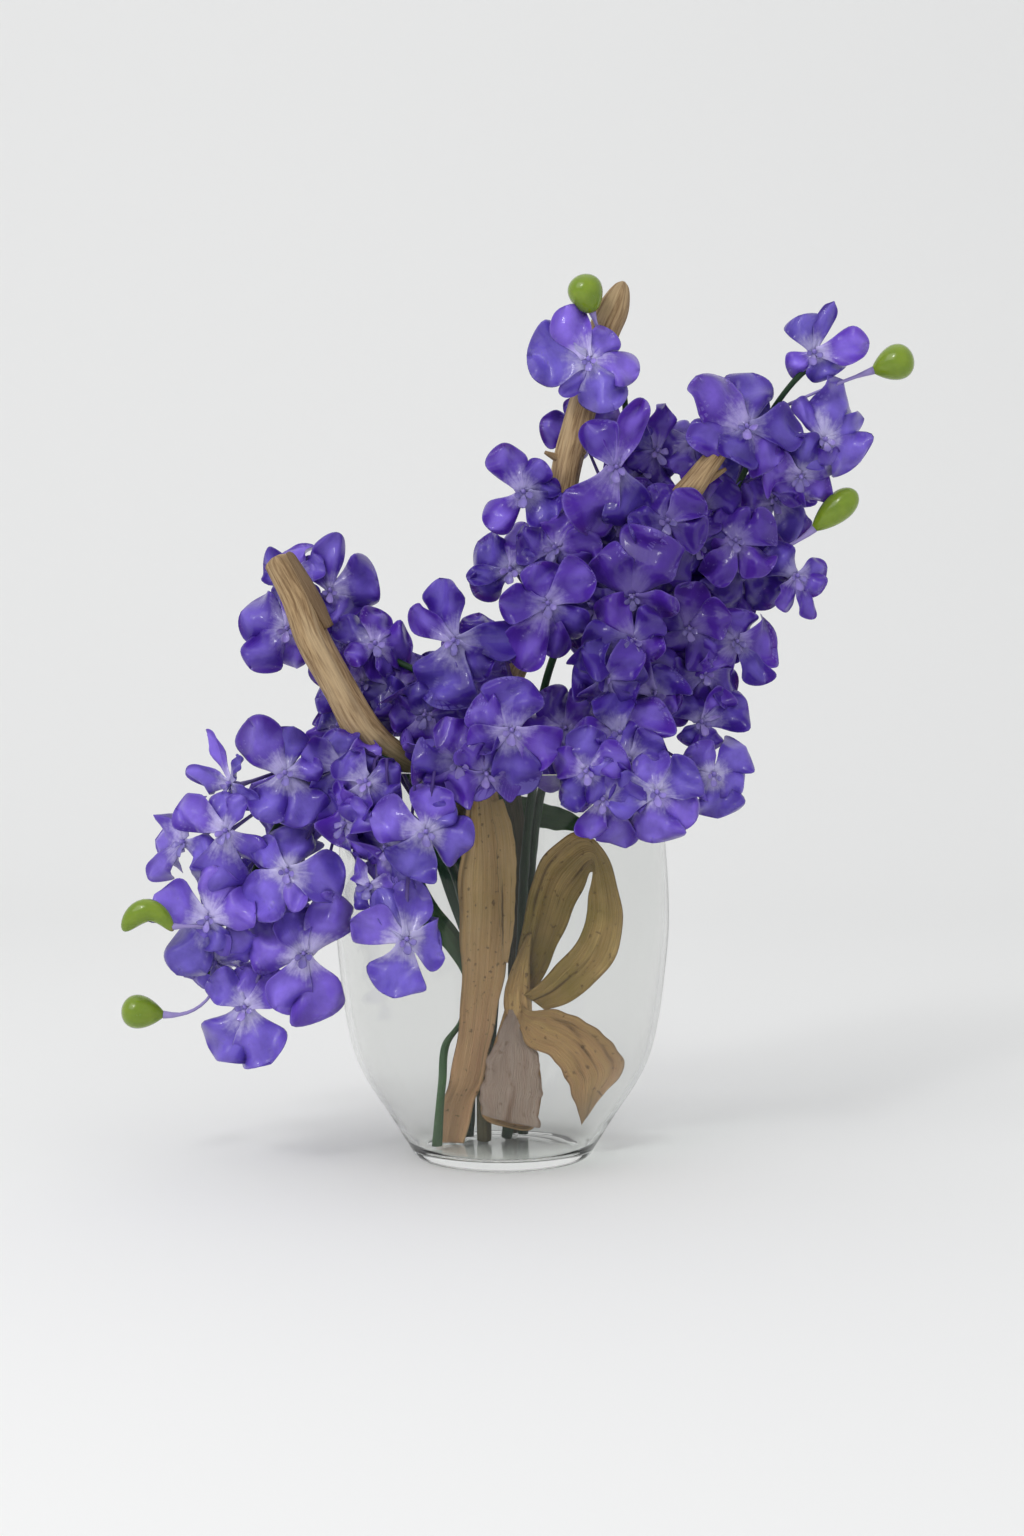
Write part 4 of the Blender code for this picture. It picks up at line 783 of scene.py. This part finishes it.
def budMaterial():
    look = budLook
    material, tree, shader, place, tone, spot = patternMaterial("glossyGreenBud", **{
        "Specular IOR Level": 0.3, "Coat Weight": 0.5, "Coat Roughness": 0.06,
        "Subsurface Weight": 0.05, "Subsurface Scale": 0.003})
    blotch = mottleNode(tree, spot, *look["blotch"])
    lines = fibreNode(tree, place, tone[1], *look["lines"])
    colour = layered(tree, look, blotch, streak=lines, root=rangeNode(tree, place[0], *look["rootEnd"]))
    dressShader(tree, shader, colour, blotch, look, lines)
    return material


# Twigs: points along the middle with the radius at each; a spur has its root, its tip and its radius.
twigLeft = dict(
    run=(
        (-9, 5, 6.2, 3.5), (-9, 1, 80, 4.2), (-9, -3, 130, 5.0), (-18, -11, 164, 5.6), (-33, -22, 183, 6.4),
        (-49, -29, 194, 7.2), (-60, -30, 202, 8.2), (-69, -30, 214, 8.2), (-79, -30, 232, 7.8),
        (-89, -30, 251, 7.8), (-96, -30, 270, 7.4), (-106, -30, 289, 6.4)),
    strand=(
        (-81, -31, 256, 2.6), (-90, -32, 273, 3.6), (-100, -31, 291, 2.2)))
twigCentre = dict(
    run=(
        (4, 24, 6.0, 3.2), (6, 23, 80, 3.6), (8, 22, 140, 4.0), (3, 16, 188, 4.6), (4, 9, 226, 5.0),
        (12, 0, 247, 5.2), (20, -7, 270, 5.8), (26, -12, 300, 6.4), (31, -13, 332, 6.8), (39, -13, 364, 6.6),
        (47, -14, 392, 7.2), (52, -14, 404, 7.2), (55, -14, 412, 5.2), (57, -14, 418, 2.2)),
    branch=(
        (22, -8, 268, 3.6), (40, -10, 285, 4.2), (53, -11, 303, 4.6), (68, -15, 310, 4.8), (84, -20, 316, 6.2),
        (97, -22, 332, 5.0), (108, -20, 346, 3.2)),
    spurs=(
        ((31, -13, 334), (20, -16, 337), 3.0), ((31, -13, 334), (39, -17, 337), 3.2),
        ((29, -12, 320), (22, -17, 323), 2.4), ((90, -21, 322), (105, -22, 329), 3.0)))
twigForm = dict(sides=40, ringsPerMm=0.8, ridge=0.085, ridges=(3, 5, 8, 13), driftRun=30, weaveRun=(9, 22),
                fadeRun=11, knots=5, knotHeight=0.16, knotLength=5, knotWidth=0.35, endRadii=(0.85, 0.35),
                spurSides=12, spurRings=9, spurRise=1.2, spurTaper=0.72)
# sunk is painted shade: the bark turns dark below the rim, where it stands among the leaves
barkLook = dict(
    dark=(0.185, 0.110, 0.052), light=(0.46, 0.315, 0.165), streak=(0.56, 0.42, 0.25), stain=(0.20, 0.13, 0.07),
    sunk=(0.030, 0.040, 0.016), tip=(0.20, 0.13, 0.07), spur=(0.10, 0.06, 0.035),
    shares=dict(streak=0.55, stain=0.5, sunk=0.85, tip=0.25, spur=0.8), around=3.2, lengthwise=3.5,
    grain=(2.2, 5.0, 0.62, 0.3), broad=(0.55, 3.0, 0.5), blotch=(45.0, 2.4), lit=(0.30, 0.66), streaks=(0.42, 0.66),
    stains=(0.3, 0.0), belowRim=(0.215, 0.185), tipEnd=(0.93, 1.0),
    roughness=(0.82, 0.6), glossRange=(0.2, 0.8), bump=(0.5, 0.0014))


def barkSkin(points, seed, dark=0.0):
    # radius (1 + sum of ridge/n^0.4 cos(n a + drift) + knots): the ridges run along and drift slowly round
    draw = np.random.default_rng(seed)
    points = np.array(points, float)
    span = np.linalg.norm(np.diff(points[:, :3], axis=0), axis=1).sum()
    rings = int(span * twigForm["ringsPerMm"])
    path = smoothPath(points, rings)
    s = np.linspace(0, 1, rings)[:, None]
    run = s * span
    turn = turnsOf(twigForm["sides"])[None]
    shape = np.ones((rings, twigForm["sides"]))
    for n in twigForm["ridges"]:
        drift = draw.uniform(0, math.tau) + draw.uniform(-1, 1) * run / twigForm["driftRun"]
        drift = drift + 0.5 * np.sin(run / draw.uniform(*twigForm["weaveRun"]) + n)
        fade = 0.7 + 0.3 * np.sin(run / twigForm["fadeRun"] + n)
        shape += twigForm["ridge"] / n**0.4 * np.cos(n * turn + drift) * fade
    for _ in range(twigForm["knots"]):
        at, where = draw.uniform(0.1, 0.95), draw.uniform(0, math.tau)
        away = (run - at * span) / twigForm["knotLength"]
        shape += twigForm["knotHeight"] * np.exp(-away**2 - (np.sin((turn - where) / 2) / twigForm["knotWidth"]) ** 2)
    radius = path[:, 3:4] * shape
    radius[-2:] *= np.array(twigForm["endRadii"])[:, None]
    return tubeSkin(path[None, :, :3], radius[None], twigForm["sides"], (draw.random(), span / 100, dark))


def spurSkin(spur, seed):
    # a short cone that rises a little, radius (1 - taper t^1.2)
    root, tip, radius = np.array(spur[0]), np.array(spur[1]), spur[2]
    t = np.linspace(0, 1, twigForm["spurRings"])
    path = root + (tip - root) * t[:, None] + np.array((0, 0, twigForm["spurRise"])) * (t**2)[:, None]
    radius = radius * (1 - twigForm["spurTaper"] * t**1.2)
    return tubeSkin(path[None], radius[None, :, None], twigForm["spurSides"], (seed % 7 / 7, 0.15, 0.3))


def barkMaterial():
    look = barkLook
    material, tree, shader, place, tone, spot = patternMaterial("dryTwigBark", **{"Specular IOR Level": 0.3})
    # the section is read as a circle, so that the grain has no seam
    turn = product(tree, place[1], math.tau)
    parts = [product(tree, mathNode(tree, way, turn), look["around"]) for way in ("COSINE", "SINE")]
    length = product(tree, product(tree, place[0], tone[1]), look["lengthwise"])
    way = newNode(tree, "ShaderNodeCombineXYZ", *parts, length).outputs[0]
    grain = noiseNode(tree, way, *look["grain"])
    height = newNode(tree, "ShaderNodeSeparateXYZ", spot).outputs[2]
    # below the rim the sunk colour lays painted shade on the bark
    colour = layered(tree, look, rangeNode(tree, grain, *look["lit"]),
                     streak=rangeNode(tree, noiseNode(tree, way, *look["broad"]), *look["streaks"]),
                     stain=rangeNode(tree, mottleNode(tree, spot, *look["blotch"]), *look["stains"]),
                     sunk=rangeNode(tree, height, *look["belowRim"]),
                     tip=rangeNode(tree, place[0], *look["tipEnd"]), spur=tone[2])
    dressShader(tree, shader, colour, grain, look, grain)
    return material


# Leaves: pairs of points on the left and the right edge from foot to tip, the depth of the creases against the
# breadth, and a tone of three: the seed of the fibres, the share of olive (or, on a green leaf, of painted shade) and
# that of pink.
tallLeaf = dict(
    blade=dict(seed=12, creases=0.065, tone=(0.1, 0.36, 0.70), edges=(
        ((-33, -1, 6.0), (-19, 2, 5.8)), ((-30, -3, 24), (-14.5, 0, 24)), ((-25, -5, 38), (-9, -4, 38)),
        ((-21, -9, 66), (-3, -7, 66)), ((-20, -13, 104), (3, -10, 104)), ((-20, -18, 140), (6, -14, 140)),
        ((-17.5, -23, 168), (0, -20, 168)), ((-16, -28, 188), (-6, -26, 188)))),
    flap=dict(seed=13, creases=0.06, tone=(0.3, 0.55, 0.6), edges=(
        ((-5.8, -25.5, 174), (0.3, -25.5, 175)), ((-3.0, -25, 156), (5.2, -25, 160)),
        ((-2.2, -22, 137), (6.6, -21.5, 137)), ((-1.4, -18, 115), (5.6, -17.5, 115)),
        ((0.0, -14, 97), (2.7, -13.5, 95)))))
driedCluster = dict(
    neck=(
        (10, -11, 60, 1.6), (9, -10, 66, 4.8), (8, -8.2, 73, 6.4), (7.5, -7.4, 79, 6.0), (8.5, -6.6, 87, 5.0),
        (10.5, -5.6, 98, 2.8), (13, -5.2, 108, 1.0)),
    neckRings=24, neckSides=24, neckWrinkles=((5, 0.10, 0), (8, 0.06, 1)), neckTone=(0.4, 0.35, 1.0),
    loop=dict(seed=14, creases=0.042, tone=(0.5, 0.85, 0.7), edges=(
        ((2, -2, 78), (16.5, -6, 82)), ((6.5, -3, 97), (24.5, -7, 97)), ((11.5, -5, 120), (34.0, -8, 121)),
        ((18, -7, 144), (39.5, -10, 131)), ((32, -10, 157), (42, -13, 138)), ((43, -15, 155), (43, -17, 138)),
        ((52, -20, 142), (41, -20, 130)), ((57, -22, 118), (38.5, -21, 114)), ((51, -21, 95), (30.5, -19, 100)),
        ((34, -18, 78), (17.5, -16, 86.5)), ((20, -15, 73), (10, -13, 80)))),
    ring=dict(seed=15, creases=0.04, tone=(0.7, 0.1, 1.0), edges=(
        ((2, -7, 74), (11, -7, 74)), ((-4, -8, 56), (5, -8, 58)), ((-8, -9, 40), (0, -9, 43)),
        ((-10, -10, 22), (-1, -10, 27)), ((2, -11, 16), (2, -11, 25)), ((14, -12, 15), (9, -12, 24)),
        ((18, -13, 26), (11, -13, 28)), ((18, -14, 44), (11.5, -14, 44)), ((12, -14, 59), (7, -14, 62)),
        ((10, -14, 72), (5, -14, 73)))),
    low=dict(seed=16, creases=0.045, tone=(0.9, 0.45, 0.9), edges=(
        ((6, -10, 79), (5, -11, 72)), ((13, -17, 73), (11, -19, 58)), ((25, -19, 74), (18, -21, 54)),
        ((39, -19, 69), (27, -22, 48)), ((52, -16, 57), (31, -22, 39)), ((59, -13, 45), (34, -21, 32)),
        ((49, -13, 33), (36, -19, 25)), ((41, -14, 22), (38, -16, 18)))),
    pale=dict(seed=17, creases=0.05, tone=(0.35, 0.1, 0.8), edges=(
        ((3, -12, 73), (11, -13, 73)), ((-2, -13.5, 61), (13, -15, 61)), ((-7, -14, 49), (17.5, -16, 49)),
        ((-10, -14, 35), (18.5, -16, 38)), ((-11, -14, 27), (18, -16, 27)), ((-10, -14, 23), (17.5, -16, 17)))))
greenLeaves = dict(
    Outer=dict(seed=18, creases=0.012, tone=(0.2, 0.0, 0.0), edges=(
        ((-29, -10, 6.0), (-34, -11, 6.1)), ((-28, -11, 27), (-32, -12, 27)), ((-27, -8, 38), (-31, -8, 38)),
        ((-25.5, -1, 54), (-29.5, -2, 54)), ((-16, 2, 68), (-21, 2, 66)), ((-13, 6, 88), (-19, 5, 84)),
        ((-21, 6, 107), (-27, 5, 98)), ((-31, 5, 120), (-38, 4, 110)), ((-40, 5, 136), (-47, 4, 127)),
        ((-47, 6, 152), (-56, 5, 144)))),
    Inner=dict(seed=19, creases=0.012, tone=(0.6, 0.7, 0.0), edges=(
        ((-24, 24, 6.0), (-27, 23, 6.1)), ((-17, 26, 40), (-20, 26, 40)), ((-8, 27, 66), (-12, 27, 66)),
        ((-10, 28, 88), (-16, 27, 88)), ((-14, 29, 106), (-22, 28, 106)), ((-16, 30, 128), (-30, 29, 128)),
        ((-17, 31, 150), (-37, 30, 150)), ((-16, 31, 172), (-44, 30, 172)), ((-18, 29, 188), (-40, 28, 188)))),
    Right=dict(seed=20, creases=0.035, tone=(0.8, 0.05, 0.0), edges=(
        ((-15.3, 31, 170), (-15.8, 31, 161)), ((-3, 31, 172), (-1, 31, 160)), ((9, 30, 172), (8, 31, 157)),
        ((18, 29, 169), (17, 31, 156)), ((27, 27, 167), (25, 29, 155)), ((36, 24, 163), (33, 26, 155)),
        ((45, 19, 157), (44, 20, 152)))))
leafForm = dict(stations=110, sides=56, thickness=0.9, channel=0.14, folds=(2, 3, 5, 7), pleats=(2, 4, 7, 11),
                pleatDepth=1.1, edgeLift=0.7, wallGap=0.5)


def strapSkin(edges, seed, creases, tone):
    # a blade between two edge curves: middle + half breadth cos a across + normal (channel + creases + skin sin a)
    draw = np.random.default_rng(seed)
    count = leafForm["stations"]
    left, right = (smoothPath(side, count)[:, None] for side in zip(*edges))
    middle, across = (left + right) / 2, left - right
    breadth = np.linalg.norm(across, axis=-1, keepdims=True)
    normal = unit(np.cross(np.gradient(middle, axis=0), across))
    turn = turnsOf(leafForm["sides"])[None, :, None]
    c, q = np.cos(turn), np.sin(turn)
    s = np.linspace(0, 1, count)[:, None, None]
    def wavy(slow, fast):
        # a sine along the blade that starts anywhere and turns slow to fast times
        return np.sin(math.tau * (s * draw.uniform(slow, fast) + draw.random()))
    deep = creases * breadth
    fold = leafForm["channel"] * breadth * (np.abs(c) ** 1.3 - 1)
    for n in leafForm["folds"]:
        drift = draw.uniform(0, math.tau) + draw.uniform(-2.5, 2.5) * s + 0.5 * np.sin(s * draw.uniform(5, 12))
        fold = fold + deep / n * np.cos(n * math.pi / 2 * (c + 1) + drift)
    pleats = 0
    for n in leafForm["pleats"]:
        drift = draw.uniform(0, math.tau) + draw.uniform(-1.2, 1.2) * s + 0.35 * np.sin(s * draw.uniform(4, 9) + n)
        lasting = 0.5 + 0.5 * wavy(0.6, 1.6)
        pleats = pleats + (1 - np.abs(np.sin(n * math.pi / 4 * (c + 1) + drift))) ** 4 * lasting / n**0.35
    fold = fold - leafForm["pleatDepth"] * deep * pleats
    fold = fold + leafForm["edgeLift"] * deep * np.abs(c) ** 5 * wavy(2, 3.5)
    leftWave, rightWave = (creases * (wavy(2, 4) + 0.5 * wavy(6, 10)) for _ in range(2))
    wobble = np.abs(c) * np.where(c > 0, leftWave, rightWave)
    ends = np.sqrt(np.clip(1 - (2 * s - 1) ** 40, 0, 1))
    skin = leafForm["thickness"] / 2 * (0.55 + 0.45 * (1 - c**2)) * ends
    grid = middle + across / 2 * (c + wobble) + normal * (fold + q * skin)
    grid = outOfVase(grid, False, leafForm["wallGap"])
    place = np.stack([v[..., 0] for v in np.broadcast_arrays(s, c, pleats)], -1)
    place = np.concatenate([place, np.broadcast_to(np.array(tone, float), place.shape)], -1)
    return closedSkin(grid[None], place[None])


def neckSkin(cluster):
    # a wrinkled tube: radius (1 + sum of depth cos(n a + start))
    sides = cluster["neckSides"]
    path = smoothPath(cluster["neck"], cluster["neckRings"])[None]
    wrinkles = 1 + sum(depth * np.cos(n * turnsOf(sides) + start) for n, depth, start in cluster["neckWrinkles"])
    return tubeSkin(path[..., :3], path[..., 3:4] * wrinkles, sides, cluster["neckTone"])


# crease is painted shade: the dark colour laid along the pleats
driedLook = dict(
    dark=(0.265, 0.145, 0.034), light=(0.76, 0.50, 0.165), streak=(0.84, 0.60, 0.24), olive=(0.235, 0.195, 0.012),
    pink=(0.66, 0.38, 0.20), crease=(0.085, 0.040, 0.012), edge=(0.085, 0.040, 0.012), spot=(0.12, 0.06, 0.02),
    shares=dict(streak=0.5, spot=0.6, edge=0.5, crease=0.8), fine=(30.0, 3.0, 2.6), broad=(4.0, 3.0, 3.0),
    patch=(28.0, 3.6), specks=(330.0, 2.0), spots=(0.62, 0.72), low=(0.125, 0.045), pinkAmong=(0.8, 0.35),
    rim=(0.90, 1.0), pleats=(0.25, 0.95), roughness=(0.66, 0.46), bump=(0.7, 0.0018))
paleLook = dict(
    driedLook, dark=(0.36, 0.24, 0.17), light=(0.56, 0.44, 0.36), streak=(0.66, 0.56, 0.48),
    olive=(0.36, 0.26, 0.15), pink=(0.52, 0.38, 0.30), crease=(0.26, 0.15, 0.095), edge=(0.26, 0.15, 0.095),
    spot=(0.30, 0.20, 0.14))
tallLook = dict(
    driedLook, dark=(0.56, 0.30, 0.105), light=(1.0, 0.69, 0.31), streak=(0.98, 0.74, 0.40),
    olive=(0.50, 0.34, 0.080), pink=(0.90, 0.51, 0.33))
greenLook = dict(
    dark=(0.012, 0.055, 0.010), light=(0.036, 0.125, 0.026), patch=(0.060, 0.165, 0.036),
    shaded=(0.012, 0.052, 0.020), shares=dict(patch=0.4), fine=(16.0, 1.2, 1.8), mottle=(40.0, 2.0),
    roughness=(0.45, 0.32), bump=(0.25, 0.001))


def driedMaterial(name, look):
    # long fibres from dark to light, olive patches, pinkish low down, and painted shade: dark lines where the blade
    # is pleated
    material, tree, shader, place, tone, spot = patternMaterial(name, **{"Specular IOR Level": 0.22})
    along, across, pleat = place
    seed, oliveShare, pinkShare = tone
    fine = fibreNode(tree, place, seed, *look["fine"])
    broad = fibreNode(tree, place, seed, *look["broad"])
    height = newNode(tree, "ShaderNodeSeparateXYZ", spot).outputs[2]
    most, less = look["pinkAmong"]
    pink = product(tree, product(tree, rangeNode(tree, height, *look["low"]), pinkShare),
                   mathNode(tree, "SUBTRACT", most, product(tree, broad, less)))
    colour = layered(tree, look, fine, streak=broad,
                     olive=product(tree, mottleNode(tree, spot, *look["patch"]), oliveShare), pink=pink,
                     spot=rangeNode(tree, noiseNode(tree, spot, *look["specks"]), *look["spots"]),
                     edge=rangeNode(tree, mathNode(tree, "ABSOLUTE", across), *look["rim"]),
                     crease=rangeNode(tree, pleat, *look["pleats"]))
    dressShader(tree, shader, colour, fine, look, fine)
    return material


def greenMaterial():
    look = greenLook
    material, tree, shader, place, tone, spot = patternMaterial("greenStrap", **{"Specular IOR Level": 0.45})
    fine = fibreNode(tree, place, tone[0], *look["fine"])
    patch = mottleNode(tree, spot, *look["mottle"])
    # shaded is painted shade, strongest on the inner leaf that stands behind the others
    colour = layered(tree, look, fine, patch=patch, shaded=tone[1])
    dressShader(tree, shader, colour, patch, look, fine)
    return material


def vaseSkin():
    # an outline of (radius, height) turned about z: foot, outer wall, rounded rim, inner wall, inner floor
    rimRadius, rimHeight = vase["wall"][-1]
    foot = smoothPath(vase["foot"], vase["footSteps"])
    wall = smoothPath(vase["wall"], vase["wallSteps"])[1:-1]
    belowRim = wall[:, 1] < rimHeight - vase["rimJoin"]
    outer = wall[belowRim & (wall[:, 1] > vase["footJoin"])]
    bend = np.linspace(0, math.pi, vase["rimSteps"])
    rimRound = vase["rimThickness"] / 2
    rimMiddle = np.array((rimRadius - rimRound, rimHeight - rimRound))
    rim = rimMiddle + rimRound * np.stack([np.cos(bend), np.sin(bend)], 1)
    # the wall thins out from its full thickness low down to the rim's
    inner = wall[belowRim & (wall[:, 1] > vase["floor"][0][1] + vase["floorJoin"])][::-1]
    depth = ease(-inner[:, 1], -rimHeight, -vase["thickBelow"])
    inner[:, 0] -= vase["rimThickness"] + (vase["thickness"] - vase["rimThickness"]) * depth
    floor = smoothPath([tuple(inner[-1]), *vase["floor"]], vase["floorSteps"])[1:]
    floor[-1, 0] = vase["pole"]
    outline = np.concatenate([foot, outer, rim, inner, floor])[:, :, None]
    turn = turnsOf(vase["turns"])
    radius, height = outline[:, 0], outline[:, 1] + 0 * turn
    grid = np.stack([radius * np.cos(turn), radius * np.sin(turn), height], -1)
    return closedSkin(grid[None], np.zeros((1, *grid.shape[:2], 6)))


def glassMaterial():
    material, tree, shader = plainMaterial("clearVaseGlass", **{
        "Base Color": (*vase["tint"], 1), "Roughness": 0.0, "IOR": vase["ior"],
        "Transmission Weight": 1.0, "Specular IOR Level": 0.5})
    # light passes through on its way to what stands inside and behind, with no dark shadow
    shadow = tree.nodes.new("ShaderNodeLightPath").outputs["Is Shadow Ray"]
    clear = newNode(tree, "ShaderNodeBsdfTransparent", (*vase["shadowTint"], 1))
    mix = newNode(tree, "ShaderNodeMixShader", shadow, shader.outputs[0], clear.outputs[0])
    tree.links.new(mix.outputs[0], tree.nodes["Material Output"].inputs["Surface"])
    return material


petals, stems, buds = petalMaterial(), stemMaterial(), budMaterial()
bark, green = barkMaterial(), greenMaterial()
dried, paleDried, tallDried = (driedMaterial(name, look) for name, look in (
    ("driedStrap", driedLook), ("paleStrap", paleLook), ("tallStrap", tallLook)))

makePiece("glassVase", vaseSkin(), glassMaterial(), "vase")
print("vase made")

for title, spray in sprays.items():
    makePiece("petals" + title, sprayPetals(spray), petals, spray["node"])
    makePiece("stems" + title, sprayStems(spray), stems, spray["node"])
    if spray["buds"]:
        makePiece("buds" + title, joined([budSkin(row) for row in spray["buds"]]), buds, spray["node"])
print("sprays made")

makePiece("twigLeft", joined([barkSkin(twigLeft["run"], 3), barkSkin(twigLeft["strand"], 4, dark=0.9)]),
          bark, "twig_left")
spurs = [spurSkin(spur, k) for k, spur in enumerate(twigCentre["spurs"])]
makePiece("twigCentre", joined([barkSkin(twigCentre["run"], 6), barkSkin(twigCentre["branch"], 7), *spurs]),
          bark, "twig_centre")
print("twigs made")

makePiece("driedLeafTall", joined([strapSkin(**leaf) for leaf in tallLeaf.values()]),
          tallDried, "dried_leaf_tall")
straps = [strapSkin(**driedCluster[part]) for part in ("loop", "ring", "low")]
makePiece("driedLeafCluster", joined([neckSkin(driedCluster), *straps]), dried, "dried_leaf_cluster")
makePiece("driedLeafPale", strapSkin(**driedCluster["pale"]), paleDried, "dried_leaf_cluster")
for title, leaf in greenLeaves.items():
    makePiece("greenLeaf" + title, strapSkin(**leaf), green, "green_leaf_" + title.lower())
print("leaves made")

# The room, in metres: a pale sheet, four lamps that face their aim, and an even light all round.
room = dict(width=5.0, front=-2.4, floorEnd=0.9, bend=0.9, bendSteps=24, top=3.4, colour=(0.875, 0.875, 0.87),
            light=0.73, lightColour=(0.98, 0.99, 1.0))
lamps = dict(
    windowLight=dict(place=(-1.3, -1.4, 1.7), aim=(0, 0, 0.25), size=(1.6, 1.6), power=15, colour=(1, 0.99, 0.98)),
    frontFill=dict(place=(1.2, -1.6, 0.9), aim=(0, 0, 0.2), size=(1.2, 1.2), power=0.6, colour=(0.97, 0.98, 1)),
    skyPanel=dict(place=(0.0, 0.2, 2.2), aim=(0, 0.1, 0.2), size=(2.0, 2.0), power=2.5, colour=(1, 1, 1)),
    windowGlint=dict(place=(-0.8, -1.5, 1.6), aim=(0, 0, 0.3), size=(0.25, 0.35), power=5.5, colour=(1, 1, 1)))


def makeBackdrop():
    # a sheet that runs back along the floor, up a quarter circle and on up, the same across its whole width
    bend = np.linspace(0, math.pi / 2, room["bendSteps"])
    back = room["floorEnd"] + room["bend"]
    y = np.concatenate([[room["front"]], room["floorEnd"] + room["bend"] * np.sin(bend), [back]])
    z = np.concatenate([[0], room["bend"] * (1 - np.cos(bend)), [room["top"]]])
    x = np.array((-room["width"] / 2, room["width"] / 2))
    points = np.stack([v.ravel() for v in np.broadcast_arrays(x[None], y[:, None], z[:, None])], 1)
    start = np.arange(len(y) - 1)[:, None] * 2
    mesh = bpy.data.meshes.new("paleSheet")
    mesh.from_pydata(points.tolist(), [], (start + (0, 1, 3, 2)).tolist())
    mesh.shade_smooth()
    paper = plainMaterial("paleSheetPaper", **{
        "Base Color": (*room["colour"], 1), "Roughness": 0.9, "Specular IOR Level": 0.1})[0]
    mesh.materials.append(paper)
    linked("paleSheet", mesh)


def makeLamp(name, place, aim, size, power, colour):
    data = bpy.data.lights.new(name, "AREA")
    data.shape = "RECTANGLE"
    data.size, data.size_y = size
    data.energy, data.color = power, colour
    lamp = linked(name, data)
    way = unit(np.array(place) - np.array(aim))
    lamp.location = place
    lamp.rotation_euler = (math.acos(way[2]), 0, math.atan2(way[1], way[0]) + math.pi / 2)


makeBackdrop()
for name, lamp in lamps.items():
    makeLamp(name, **lamp)
scene = bpy.context.scene
scene.world = bpy.data.worlds.new("softRoom")
scene.world.use_nodes = True
background = scene.world.node_tree.nodes["Background"]
background.inputs[0].default_value = (*room["lightColour"], 1)
background.inputs[1].default_value = room["light"]

optics = bpy.data.cameras.new("photoCamera")
optics.lens, optics.sensor_width, optics.sensor_fit = camera["lens"], camera["sensor"], "AUTO"
optics.clip_start, optics.clip_end = camera["near"], camera["far"]
eye = linked("photoCamera", optics)
eye.location = np.array(camera["place"]) * mm
eye.rotation_euler = (math.radians(90 - camera["tiltDown"]), 0, 0)
scene.camera = eye
scene.view_settings.view_transform = "Standard"
print("room, light and camera made")
